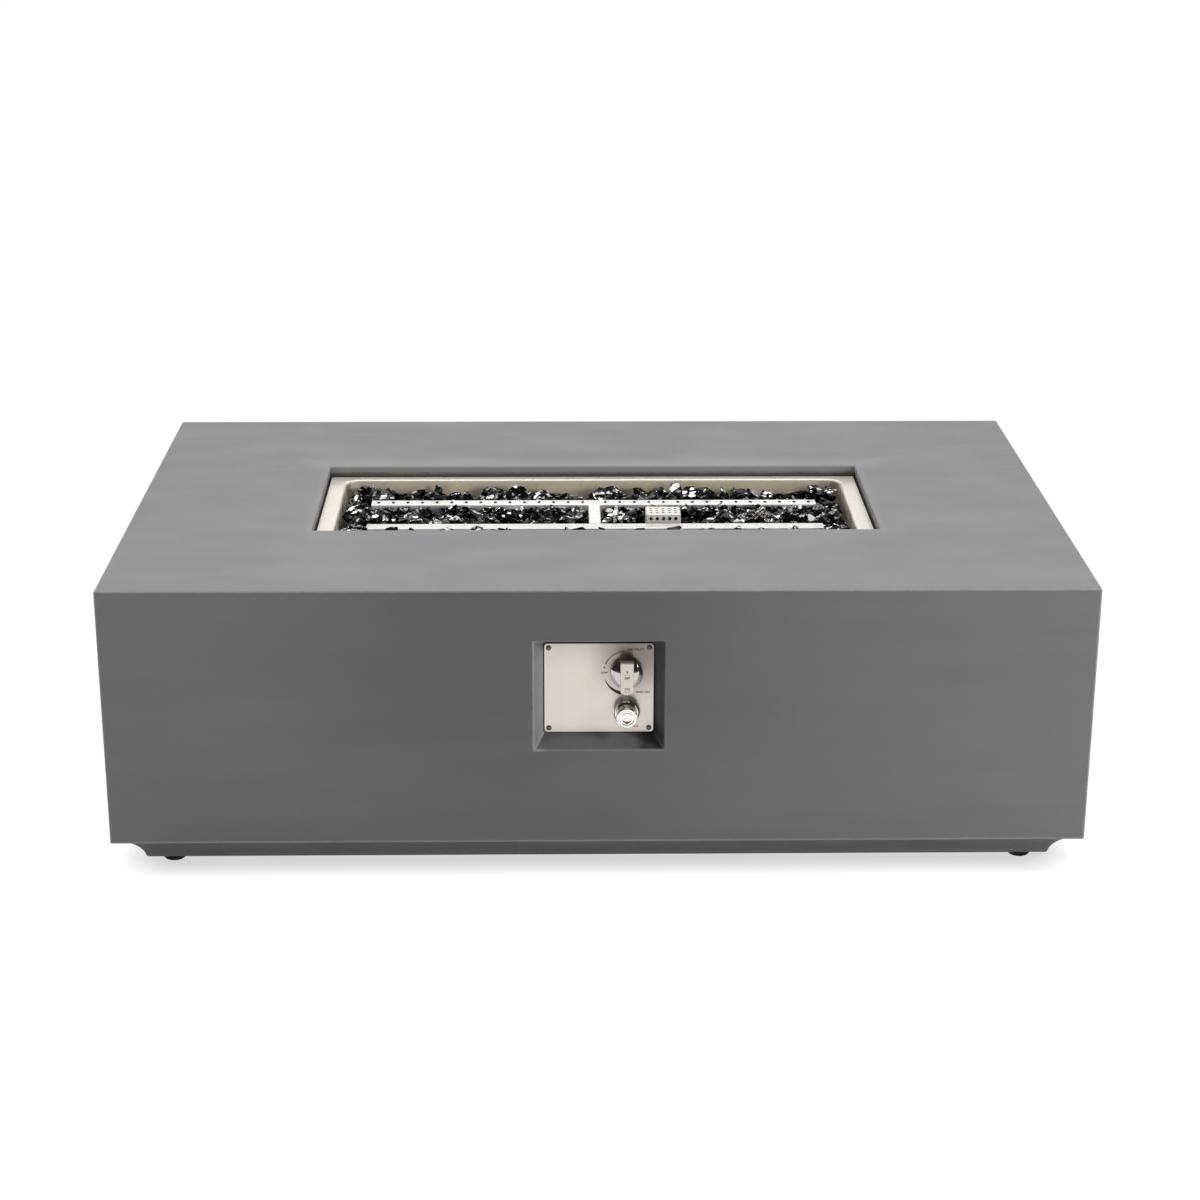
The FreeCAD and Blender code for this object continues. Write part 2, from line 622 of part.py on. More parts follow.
def shield():
    """The perforated hood over the ignition parts, and the bracket that holds them."""
    hood = new_body("pilot_shield", shield_x, shield_y, pan_floor)
    tall = shield_top - pan_floor
    pad(hood, rectangle(new_sketch(hood, "XY_Plane"), shield_width, shield_reach), tall)
    half = shield_width.value / 2
    front_edge = -shield_reach.value / 2

    def folded(edge):
        box = edge.BoundBox
        front_corner = upright(edge) and box.YMax < 0
        top_side = lies_at(edge, tall) and (box.YLength > 1 or box.YMax < 0)
        return front_corner or top_side
    round_edges(hood, 2, folded)
    inside = rectangle(new_sketch(hood, "XY_Plane"), shield_width - sheet_metal * 2, shield_reach, y=sheet_metal)
    pocket(hood, inside, tall - sheet_metal, reverse=True)
    for side in (-1, 1):
        foot = rectangle(new_sketch(hood, "XY_Plane"), 9, 16, x=(shield_width / 2 + 3.9) * side)
        pad(hood, foot, sheet_metal)
        pocket(hood, circle(new_sketch(hood, "XY_Plane"), 1.7, foot_hole_x * side), 3, both=True)
    top_hole = circle(new_sketch(hood, "XY_Plane", tall + 1), 2.2, -16.6, -8.7)
    first = pocket(hood, top_hole, 4)
    repeat(hood, first, ("X_Axis", 5, 33.2), ("Y_Axis", 3, 17.4))
    front_hole = circle(new_sketch(hood, "XZ_Plane", shield_reach / 2 + 1), 2.5, -16.6, tall - 6)
    first = pocket(hood, front_hole, 4)
    repeat(hood, first, ("X_Axis", 5, 33.2))

    bracket = new_body("pilot_bracket", shield_x, shield_y, pan_floor)
    metal = 1.5
    strip = outline(new_sketch(bracket, "YZ_Plane"), [
        (9 - metal, 0), (19, 0), (19, metal), (9, metal), (9, 20), (-9, 20), (-9, 20 - metal),
        (9 - metal, 20 - metal)])
    pad(bracket, strip, 34, both=True)
    grips = circle(new_sketch(bracket, "XY_Plane", 21), 3.1, lead_pitch / 2)
    circle(grips, 3.1, -lead_pitch / 2)
    pocket(bracket, grips, 4)
    pocket(bracket, circle(new_sketch(bracket, "XY_Plane"), 1.7, 0, 14), 2, reverse=True)

    screws = new_body("pan_screws", shield_x, shield_y, pan_floor)
    low = -sheet_metal - 3
    for x, y, seat in ((-foot_hole_x, 0, sheet_metal), (foot_hole_x, 0, sheet_metal), (as_size(0), 14, as_size(metal))):
        pad(screws, circle(new_sketch(screws, "XY_Plane", low), 1.6, x, y), seat - low)
        pad(screws, circle(new_sketch(screws, "XY_Plane", seat), 3.2, x, y), 2)

    floor_gap = pan_under - pan_floor
    for side, label in ((-1, "electrode_insulator"), (1, "thermocouple_probe")):
        x = shield_x + lead_pitch * side / 2
        piece = new_body(label, x, shield_y, pan_floor)
        if side < 0:
            turned(piece, [(0.85, 8), (3, 8), (3, 20), (4.2, 20), (4.2, 23), (3, 23), (3, 38), (2, 40), (0.85, 40)])
        else:
            turned(piece, [(0, 8), (3, 8), (3, 20), (4.2, 20), (4.2, 23), (3, 23), (3, 45), (0, 48, 3)])
    rod = new_body("electrode_rod", shield_x - lead_pitch / 2, shield_y, pan_floor + 48)
    spine = bend_path(new_sketch(rod, "YZ_Plane"), as_size(-38), as_size(-7), as_size(3))
    follow(rod, "AdditivePipe", circle(new_sketch(rod, "XY_Plane", -38), 0.8), spine)

    grommets = new_body("lead_grommets", shield_x, shield_y, pan_floor)
    for side in (-1, 1):
        x = lead_pitch * side / 2
        for radius, start, tall in ((7, 0, 1.5), (5, floor_gap, sheet_metal), (7, floor_gap - 1.5, 1.5)):
            sketch = circle(circle(new_sketch(grommets, "XY_Plane", start), radius, x), 1.6, x)
            pad(grommets, sketch, tall)


def valve():
    """The gas valve behind the knob: a body, a bonnet, a spindle, and the safety plunger behind it."""
    bonnet = panel_body("valve_bonnet", knob_x, knob_y)
    behind = -plate_thickness
    turned(bonnet, [(4.05, -12), (9, -12), (9, behind - 3), (10, behind - 3), (10, behind), (5.5, behind),
                    (5.5, 2), (4.05, 2)])
    flange = rounded_rectangle(new_sketch(bonnet, "XY_Plane", behind), 36, 20, 8)
    circle(flange, 9.9)
    pad(bonnet, flange, 3, reverse=True)
    pocket(bonnet, holes(new_sketch(bonnet, "XY_Plane"), 1.7, [(-13, 0), (13, 0)]), 8)

    body = panel_body("gas_valve_body", knob_x, knob_y)
    seat = behind - 3
    port = -valve_port_back
    pad(body, rounded_rectangle(new_sketch(body, "XY_Plane", seat), 36, 30, 5), seat + 38, reverse=True)
    pad(body, circle(new_sketch(body, "XY_Plane", -38), 12), valve_port_back - 26, reverse=True)
    pad(body, hexagon(new_sketch(body, "XY_Plane", port - 12), 19), 6, reverse=True)
    pad(body, circle(new_sketch(body, "XY_Plane", port - 18), 6.35), 10, reverse=True)
    inlet = circle(new_sketch(body, "YZ_Plane"), 9, 0, port)
    pad(body, inlet, 22, reverse=True)
    pad(body, circle(new_sketch(body, "YZ_Plane"), 6, 0, port), 17)
    pocket(body, circle(new_sketch(body, "XY_Plane", seat), 9.05), 8)
    pocket(body, circle(new_sketch(body, "XY_Plane", seat), 5.1), seat + 44)
    pocket(body, circle(new_sketch(body, "XY_Plane", port - 28), 3.5), 40, reverse=True)
    pocket(body, circle(new_sketch(body, "YZ_Plane"), 4, 0, port), 23, reverse=False)
    pocket(body, circle(new_sketch(body, "YZ_Plane", -22), 5.95, 0, port), 8, reverse=True)
    pocket(body, holes(new_sketch(body, "XY_Plane", seat), 1.55, [(-13, 0), (13, 0)]), 8)

    spindle = panel_body("valve_spindle", knob_x, knob_y)
    turned(spindle, [(0, -18), (4.8, -18), (4.8, -15), (3.98, -15), (3.98, 3.5), (3, 3.5), (3, 17), (0, 17)])
    flat = rectangle(new_sketch(spindle, "XY_Plane", 17), 8, 2, y=3.3)
    pocket(spindle, flat, 13.5)

    plunger = panel_body("safety_plunger", knob_x, knob_y)
    turned(plunger, [(0, -36), (2, -36), (2, -22), (4.9, -22), (4.9, -18), (0, -18)])
    spring = panel_body("valve_return_spring", knob_x, knob_y)
    turned(spring, [(3.6, -44), (4.8, -44), (4.8, -22), (3.6, -22)])

    screws = panel_body("valve_mount_screws", knob_x, knob_y)
    for x in (-13, 13):
        pad(screws, circle(new_sketch(screws, "XY_Plane", -10), 1.5, x), 10)
        pad(screws, circle(new_sketch(screws, "XY_Plane"), 2.9, x), 1.8)

    elbow = new_body("gas_inlet_elbow", knob_x - 37, plate_front + valve_port_back, recess_middle + knob_y)
    pipe_elbow(elbow, "XZ_Plane", as_size(-28), as_size(15), as_size(10), as_size(8), as_size(4.5))
    nose = circle(circle(new_sketch(elbow, "YZ_Plane", 15), 5.9), 4)
    pad(elbow, nose, 8)
    flare = circle(circle(new_sketch(elbow, "XY_Plane", -28), 7.94), 4.5)
    pad(elbow, flare, 17, reverse=True)
    pad(elbow, circle(hexagon(new_sketch(elbow, "XY_Plane", -22), 19), 7.9), 6, reverse=True)


def panel():
    """The stainless control plate, what clamps it, the knob and the igniter button."""
    plate = panel_body("control_plate")
    pad(plate, rounded_rectangle(new_sketch(plate, "XY_Plane"), plate_width, plate_tall, plate_corner),
        plate_thickness, reverse=True)
    cuts = holes(new_sketch(plate, "XY_Plane"), 2.2, corners_of(screw_x, screw_y))
    circle(cuts, 5.6, knob_x, knob_y)
    circle(cuts, 10.1, igniter_x, igniter_y)
    holes(cuts, 1.7, [(knob_x - 13, knob_y), (knob_x + 13, knob_y)])
    pocket(plate, cuts, plate_thickness * 2)

    gasket = panel_body("panel_gasket")
    start = -plate_thickness
    sketch = rounded_rectangle(new_sketch(gasket, "XY_Plane", start), plate_width + 1.2, plate_tall + 1.2, plate_corner)
    rounded_rectangle(sketch, window_width, window_tall, 6)
    pad(gasket, holes(sketch, 2.2, corners_of(screw_x, screw_y)), gasket_thickness, reverse=True)

    frame = panel_body("panel_backing_frame")
    start = -panel_back - recess_lip
    sketch = rounded_rectangle(new_sketch(frame, "XY_Plane", start), plate_width + 2, plate_tall + 2, plate_corner)
    rounded_rectangle(sketch, window_width + 2, window_tall + 2, 6)
    pad(frame, holes(sketch, 2.2, corners_of(screw_x, screw_y)), plate_thickness, reverse=True)

    screws = panel_body("panel_screws")
    corners = corners_of(screw_x, screw_y)
    pad(screws, holes(new_sketch(screws, "XY_Plane"), 1.95, corners), 21, reverse=True)
    pad(screws, holes(new_sketch(screws, "XY_Plane"), 3.3, corners), 1.8)
    round_edges(screws, 1, lambda edge: lies_at(edge, 1.8))
    nuts = panel_body("panel_nuts")
    start = start - plate_thickness
    sketch = holes(holes(new_sketch(nuts, "XY_Plane", start), 4, corners), 2, corners)
    pad(nuts, sketch, 3.2, reverse=True)


def knob():
    """A domed skirt, hollow behind, with a bar handle across its face and a D-shaped socket."""
    body = panel_body("control_knob", knob_x, knob_y)
    rim, dome = 5, 14.5
    rise = dome - rim - 1.8
    radius = (knob_radius.value ** 2 + rise ** 2) / (2 * rise)
    turned(body, [(0, rim + 1), (6, rim + 1), (6, 12), (knob_radius - 1.8, rim + 1.3, -radius),
                  (knob_radius - 1.8, rim), (knob_radius, rim), (knob_radius, rim + 1.8), (0, dome, radius)])
    half = handle_width / 2
    top = handle_length / 2 - 0.5
    low = 4 - handle_length / 2
    bar = outline(new_sketch(body, "XY_Plane", rim + 1.8), [
        (half, low, 10), (half, top), (-half, top), (-half, low)])
    pad(body, bar, handle_front - rim - 1.8)
    round_edges(body, 1, lambda edge: lies_at(edge, handle_front))
    socket = outline(new_sketch(body, "XY_Plane", rim), [(2, 2.35, 3.05), (-2, 2.35), (0, -3.05, 3.05)])
    pocket(body, socket, 13, reverse=True)


def igniter():
    """A push-button igniter: chrome collar and button, barrel behind the plate, cell and spring."""
    collar = panel_body("igniter_collar", igniter_x, igniter_y)
    bore = button_radius + 0.5
    turned(collar, [(10.1, 0.05), (17.4, 0.05), (17.4, 1.8), (button_radius + 1.3, 11.5, 12), (bore, 11.5), (bore, 5),
                    (10.1, 5)])
    notch = rectangle(new_sketch(collar, "XY_Plane", 4), 4, 3, x=16.8)
    first = pocket(collar, notch, 3, reverse=False)
    repeat(collar, first, "YZ_Plane")

    button = panel_body("igniter_button", igniter_x, igniter_y)
    turned(button, [(0, -4.2), (8.22, -4.2), (8.22, 25), (button_radius - 1.6, 25), (button_radius - 1.6, 9.6),
                    (button_radius, 9.6), (button_radius, button_front - 1.5),
                    (button_radius - 1.5, button_front, 1.5), (9.4, button_front),
                    (8.6, button_front - 0.6), (0, button_front - 0.6)])
    barrel = panel_body("igniter_barrel", igniter_x, igniter_y)
    turned(barrel, [(0, -62), (1.5, -62), (1.5, -58), (10, -58), (10, 4.9), (8.3, 4.9), (8.3, -8), (5.5, -8),
                    (5.5, -56), (0, -56)])
    nut = panel_body("igniter_locknut", igniter_x, igniter_y)
    pad(nut, circle(hexagon(new_sketch(nut, "XY_Plane", -plate_thickness), 26), 10.05), 5, reverse=True)
    cell = panel_body("igniter_cell", igniter_x, igniter_y)
    turned(cell, [(0, -56), (5.25, -56), (5.25, -12.5), (1.9, -12.5), (1.9, -11.5), (0, -11.5)])
    spring = panel_body("igniter_spring", igniter_x, igniter_y)
    turned(spring, [(2.4, -12.5), (4.6, -12.5), (4.6, -4.2), (2.4, -4.2)])


def rounded_path(label, points):
    """Straight runs joined by tangent arcs, each as large as its two runs allow."""
    edges = []
    radii = []
    start = points[0]
    for before, corner, after in zip(points, points[1:], points[2:]):
        inward = corner - before
        outward = after - corner
        half_turn = inward.getAngle(outward) / 2
        reach = 0.45 * min(inward.Length, outward.Length)
        radius = reach / math.tan(half_turn)
        first = corner - inward.normalize() * reach
        last = corner + outward.normalize() * reach
        to_middle = ((first + last) / 2 - corner).normalize()
        middle = corner + to_middle * (radius / math.cos(half_turn) - radius)
        edges.append(Part.LineSegment(start, first).toShape())
        edges.append(Part.Arc(first, middle, last).toShape())
        radii.append(round(radius, 1))
        start = last
    edges.append(Part.LineSegment(start, points[-1]).toShape())
    print(label, "bend radii", radii)
    return Part.Wire(edges)


def routed(label, radius, points):
    """A lead or gas line: one round tube that follows its route from end to end."""
    route = rounded_path(label, [V(*[as_size(length).value for length in point]) for point in points])
    start = route.Edges[0]
    section = Part.Wire(Part.Circle(start.valueAt(0), start.tangentAt(0), radius).toShape())
    tube = route.makePipeShell([section], True, False)
    expected = math.pi * radius ** 2 * route.Length
    if abs(tube.Volume / expected - 1) > 0.01:
        raise RuntimeError(f"{label} holds {tube.Volume:.0f} mm3, not {expected:.0f}")
    item = doc.addObject("Part::Feature", label)
    item.Label = label
    item.Shape = tube
    nodes.append(item)
    print(label, "length", round(route.Length, 1))


def gas_line_and_leads():
    """The flexible gas line from the valve to the burner, and the two leads to the shield."""
    axis_y = recess_middle + knob_y
    valve_end = plate_front + valve_port_back + 28
    routed("gas_flex_line", 5.25, [
        (knob_x, valve_end + 0.5, axis_y), (34, -239, 263.5), (30, -212, 260.5), (19, -185, 259.5),
        (6, -160, 267), (0, -136, elbow_axis), (0, -111.5, elbow_axis)])
    nuts = new_body("flex_line_nuts")
    for x, y, z, inward in ((knob_x, valve_end - 9.5, axis_y, False), (as_size(0), as_size(-101.5), elbow_axis, True)):
        side = 1 if inward else -1
        for length, bore, start in ((10.4, 6.4, 0), (9, 5.35, 10.4)):
            sketch = hexagon(new_sketch(nuts, "XZ_Plane", start * side - y), 17, x, z)
            circle(sketch, bore, x, z)
            pad(nuts, sketch, length, reverse=not inward)

    port_y = plate_front + valve_port_back
    nut = new_body("thermocouple_nut", knob_x + 17, port_y, axis_y)
    pad(nut, circle(hexagon(new_sketch(nut, "YZ_Plane"), 10), 1.55), 7)
    lead_top = pan_floor + 8
    probe_x = shield_x + lead_pitch / 2
    routed("thermocouple_lead", 1.5, [
        (knob_x + 17, port_y, axis_y), (70, port_y, axis_y), (90, -288, 262), (104, -268, 258),
        (109, -232, 253), (109, -188, 249), (107, -142, 247), (105, -98, 246), (102, -60, 249),
        (100.5, -37, 262), (probe_x, shield_y, 283), (probe_x, shield_y, lead_top)])
    rod_x = shield_x - lead_pitch / 2
    routed("ignition_lead", 1.25, [
        (igniter_x, plate_front + 62, recess_middle + igniter_y),
        (igniter_x, plate_front + 86, recess_middle + igniter_y), (36, -232, 213),
        (46, -190, 214), (59, -145, 218), (71, -102, 226), (79, -66, 238), (83, -37, 256),
        (rod_x, shield_y, 281), (rod_x, shield_y, lead_top)])


def fire_glass():
    """The bed of broken glass: a heap cut round the burner, with tilted chips along its top."""
    bed_top = 349
    clear = 0.6
    bed = doc.addObject("PartDesign::Body", "glass_bed")
    space = [bowl_length - clear * 2, bowl_width - clear * 2, pan_corner - clear]
    pad(bed, rounded_rectangle(new_sketch(bed, "XY_Plane", pan_floor), *space), bed_top - pan_floor)
    base = bed.Tip
    chamfer = bed.newObject("PartDesign::Chamfer", "glass_bed_chamfer")
    names = [f"Edge{number + 1}" for number, edge in enumerate(base.Shape.Edges) if lies_at(edge, pan_floor)]
    chamfer.Base = (base, names)
    chamfer.Size = 7
    bed.Tip = chamfer
    limits = doc.addObject("PartDesign::Body", "glass_limits")
    pad(limits, rounded_rectangle(new_sketch(limits, "XY_Plane", pan_floor), *space), 70)
    keep_out = doc.addObject("PartDesign::Body", "burner_space")
    for wide, deep, x, y in (
            (tube_length + 2, tube_side + 2, as_size(0), tube_spacing / 2),
            (tube_length + 2, tube_side + 2, as_size(0), tube_spacing / -2),
            (as_size(30), tube_spacing, as_size(0), as_size(0)),
            (shield_width + 20, shield_reach + 6, shield_x, shield_y)):
        pad(keep_out, rectangle(new_sketch(keep_out, "XY_Plane", pan_floor - 1), wide, deep, x, y), 80)

    chips = []
    rows = ((102, 330, 10), (77, 314, 7), (26, 322, 5), (1, 330, 4), (-25, 318, 6), (-77, 324, 6), (-102, 330, 8))
    for y, reach, rise in rows:
        for place in range(18):
            x = -reach + 2 * reach * place / 17
            at_end = 5 if abs(x) > 300 else 0
            chips.append(glass_chip(len(chips), x, y, bed_top - 3, rise + at_end))
    doc.recompute()
    heap = doc.addObject("Part::Feature", "glass_heap")
    heap.Shape = bed.Shape.fuse(chips)
    trimmed = doc.addObject("Part::Common", "glass_in_pan")
    trimmed.Base = heap
    trimmed.Tool = limits
    glass = doc.addObject("Part::Cut", "fire_glass")
    glass.Label = "fire_glass"
    glass.Base = trimmed
    glass.Tool = keep_out
    doc.recompute()
    nodes.append(glass)


def glass_chip(number, x, y, z, rise):
    """A flat-faced chip: a small polygon that narrows upwards, tilted and turned by its number."""
    def vary(step, low, high):
        return low + (number * step + step / 3) % 1 * (high - low)
    sides = 4 + number % 3
    across = vary(0.618, 9.5, 13)
    tall = rise + 3
    turn = vary(0.414, 0, 2 * math.pi)
    low_ring = []
    for corner in range(sides):
        angle = turn + 2 * math.pi * (corner + 0.5 * ((number * 0.37 + corner * 0.61) % 1)) / sides
        reach = across * (0.8 + 0.25 * ((number * 0.23 + corner * 0.47) % 1))
        low_ring.append(V(math.cos(angle) * reach, math.sin(angle) * reach * 0.8, 0))
    narrowing = vary(0.732, 0.3, 0.6)
    shift = V(vary(0.27, -4, 4), vary(0.83, -4, 4), tall)
    high_ring = [point * narrowing + shift for point in low_ring]
    faces = [Part.Face(Part.makePolygon(ring + ring[:1])) for ring in (low_ring, high_ring)]
    for one, two, three, four in zip(low_ring, low_ring[1:] + low_ring[:1],
                                     high_ring[1:] + high_ring[:1], high_ring):
        faces.append(Part.Face(Part.makePolygon([one, two, three, four, one])))
    skin = Part.makeShell(faces)
    skin.sewShape()
    if Part.Solid(skin).Volume < 0:
        skin.reverse()
    chip = Part.Solid(skin)
    lean = FreeCAD.Rotation(V(math.cos(turn), math.sin(turn), 0), vary(0.55, -14, 14))
    chip.Placement = FreeCAD.Placement(V(x, y, z), lean)
    return chip


table_shell()
feet()
burner_pan()
burner()
burner_feed()
shield()
valve()
panel()
knob()
igniter()
gas_line_and_leads()
fire_glass()

doc.recompute()
for item in doc.Objects:
    if "Invalid" in item.State or "Error" in item.State:
        raise RuntimeError(f"{item.Label} is {item.State}")
os.makedirs("parts", exist_ok=True)
for node in nodes:
    if node.Shape.isNull() or not node.Shape.isValid():
        raise RuntimeError(f"{node.Label} has no valid shape")
    node.Shape.exportStep(f"parts/{node.Label}.step")
    box = node.Shape.BoundBox
    print(f"{node.Label:26s} {len(node.Shape.Solids)} solids  {node.Shape.Volume / 1000:9.2f} cm3  "
          f"x {box.XMin:7.1f} {box.XMax:7.1f}  y {box.YMin:7.1f} {box.YMax:7.1f}  z {box.ZMin:6.1f} {box.ZMax:6.1f}")
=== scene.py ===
import json
import math
import random

import bmesh
import bpy
from mathutils import Matrix, Vector


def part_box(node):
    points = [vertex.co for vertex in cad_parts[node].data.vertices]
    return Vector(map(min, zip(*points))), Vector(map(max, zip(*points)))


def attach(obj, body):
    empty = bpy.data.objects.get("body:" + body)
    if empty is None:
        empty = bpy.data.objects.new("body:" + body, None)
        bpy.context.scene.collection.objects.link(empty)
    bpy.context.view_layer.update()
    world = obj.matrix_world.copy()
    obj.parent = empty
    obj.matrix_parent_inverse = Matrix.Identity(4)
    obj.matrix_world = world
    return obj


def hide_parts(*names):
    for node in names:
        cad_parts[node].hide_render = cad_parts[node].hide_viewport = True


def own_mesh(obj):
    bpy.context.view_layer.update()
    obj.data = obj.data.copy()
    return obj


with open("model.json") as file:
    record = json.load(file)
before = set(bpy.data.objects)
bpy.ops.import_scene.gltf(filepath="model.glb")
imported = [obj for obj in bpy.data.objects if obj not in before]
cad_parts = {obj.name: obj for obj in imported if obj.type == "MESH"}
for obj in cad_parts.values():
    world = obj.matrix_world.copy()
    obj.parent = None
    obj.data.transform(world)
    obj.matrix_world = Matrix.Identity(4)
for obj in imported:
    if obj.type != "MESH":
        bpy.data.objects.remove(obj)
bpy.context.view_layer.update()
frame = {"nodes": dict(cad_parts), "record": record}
nodes = frame["nodes"]
MM = 0.001

# Sizes of the table in millimetres. X runs along it, Y towards its back and Z up from the ground.
HALF_LENGTH, HALF_WIDTH, HEIGHT = 610, 382.5, 381
COVE_TOP = 48
OPENING_HALF_LENGTH, OPENING_HALF_WIDTH = 368.5, 144
RECESS_HALF_WIDTH, RECESS_HALF_HEIGHT, RECESS_Z = 81, 72, 243
KNOB_X, KNOB_Z = 34, 263.5
TUBE_Y, FIRST_PORT, PORT_PITCH, PORTS_Z = 53, 15.5, 20, 356
PRINT_THICKNESS = 0.06


# Finishes

class Wiring:
    """Shader nodes being joined up. A value is a number or the output of another node."""

    def __init__(self, tree):
        self.tree = tree

    def add(self, kind, **settings):
        node = self.tree.nodes.new(kind)
        for name, value in settings.items():
            setattr(node, name, value)
        return node

    def feed(self, node, socket, source):
        if hasattr(source, "is_linked"):
            self.tree.links.new(source, node.inputs[socket])
        else:
            node.inputs[socket].default_value = source

    def math(self, operation, first, *others):
        """Join values two at a time."""
        for second in others or (0.0,):
            node = self.add("ShaderNodeMath", operation=operation)
            self.feed(node, 0, first)
            self.feed(node, 1, second)
            first = node.outputs[0]
        return first

    def total(self, *values):
        return self.math("ADD", *values)

    def less(self, value, amount):
        return self.math("SUBTRACT", value, amount)

    def product(self, *values):
        return self.math("MULTIPLY", *values)

    def least(self, *values):
        return self.math("MINIMUM", *values)

    def most(self, *values):
        return self.math("MAXIMUM", *values)

    def off(self, value, middle):
        """How far a value is from a middle one, to either side."""
        return self.math("ABSOLUTE", self.less(value, middle))

    def distance(self, first, second):
        """The length of a line from its two sides."""
        return self.math("SQRT", self.total(self.product(first, first), self.product(second, second)))

    def span(self, source, low, high, to_low=0.0, to_high=1.0, easing="SMOOTHSTEP"):
        """Go from to_low to to_high while the source goes from low to high."""
        node = self.add("ShaderNodeMapRange", interpolation_type=easing)
        for socket, value in (("Value", source), ("From Min", low), ("From Max", high),
                              ("To Min", to_low), ("To Max", to_high)):
            self.feed(node, socket, value)
        return node.outputs["Result"]

    def mixed(self, amount, first, second):
        node = self.add("ShaderNodeMixShader")
        for socket, source in enumerate((amount, first, second)):
            self.feed(node, socket, source)
        return node.outputs[0]


class Finish(Wiring):
    """A material being mixed: its shader, and patterns in the object's own coordinates."""

    def __init__(self, name, colour, roughness, metallic=0.0, **sockets):
        self.material = bpy.data.materials.new(name)
        self.material.use_nodes = True
        super().__init__(self.material.node_tree)
        self.shader = self.tree.nodes["Principled BSDF"]
        self.colour = colour
        self.shader.inputs["Base Color"].default_value = (*colour, 1)
        self.shader.inputs["Roughness"].default_value = roughness
        self.shader.inputs["Metallic"].default_value = metallic
        for socket, value in sockets.items():
            self.shader.inputs[socket.replace("_", " ")].default_value = value
        self.place = self.add("ShaderNodeTexCoord").outputs["Object"]
        millimetres = self.add("ShaderNodeVectorMath", operation="SCALE")
        self.feed(millimetres, "Vector", self.place)
        self.feed(millimetres, "Scale", 1 / MM)
        self.sides = self.add("ShaderNodeSeparateXYZ")
        self.feed(self.sides, "Vector", millimetres.outputs["Vector"])
        self.normal = None

    def along(self, axis, both_ways=False):
        """Millimetres along an axis, counted from the middle outwards where both_ways is set."""
        place = self.sides.outputs[axis]
        return self.math("ABSOLUTE", place) if both_ways else place

    def stretched(self, stretch):
        mapping = self.add("ShaderNodeMapping")
        self.feed(mapping, "Vector", self.place)
        mapping.inputs["Scale"].default_value = stretch
        return mapping.outputs["Vector"]

    def noise(self, scale, stretch=(1, 1, 1), detail=4.0, rough=0.55, swirl=0.0):
        node = self.add("ShaderNodeTexNoise")
        self.feed(node, "Vector", self.stretched(stretch))
        for socket, value in (("Scale", scale), ("Detail", detail), ("Roughness", rough),
                              ("Distortion", swirl)):
            self.feed(node, socket, value)
        return node.outputs["Fac"]

    def cells(self, scale, stretch=(1, 1, 1), value="Distance"):
        """Cells: the distance from the middle of each, or its own level where the value is Color."""
        node = self.add("ShaderNodeTexVoronoi")
        self.feed(node, "Vector", self.stretched(stretch))
        self.feed(node, "Scale", scale)
        return node.outputs[value]

    def rings(self, axis, pitch):
        """Even ridges along an axis, pitch millimetres apart."""
        node = self.add("ShaderNodeTexWave", wave_type="BANDS", bands_direction=axis, wave_profile="SIN")
        self.feed(node, "Vector", self.place)
        self.feed(node, "Scale", math.pi / 10 / (pitch * MM))
        return node.outputs["Fac"]

    def tinted(self, *patterns):
        """Colour the surface. Each pattern is an amount, and the colour laid over what is there
        or a factor that darkens or lightens the finish's own colour."""
        colour = (*self.colour, 1)
        for amount, over in patterns:
            over = over if isinstance(over, tuple) else shade(self.colour, over)
            node = self.add("ShaderNodeMix", data_type="RGBA")
            self.feed(node, 0, amount)
            self.feed(node, 6, colour)
            self.feed(node, 7, (*over, 1))
            colour = node.outputs[2]
        self.feed(self.shader, "Base Color", colour)

    def polished(self, source, smooth, rough):
        self.feed(self.shader, "Roughness", self.span(source, 0.3, 0.7, smooth, rough))

    def relief(self, source, depth):
        """Add relief, depth millimetres deep."""
        node = self.add("ShaderNodeBump")
        self.feed(node, "Height", source)
        self.feed(node, "Distance", depth * MM)
        self.feed(node, "Strength", 1.0)
        if self.normal is not None:
            self.feed(node, "Normal", self.normal)
        self.normal = node.outputs["Normal"]
        self.feed(self.shader, "Normal", self.normal)


def shade(colour, factor):
    return tuple(min(part * factor, 1) for part in colour)


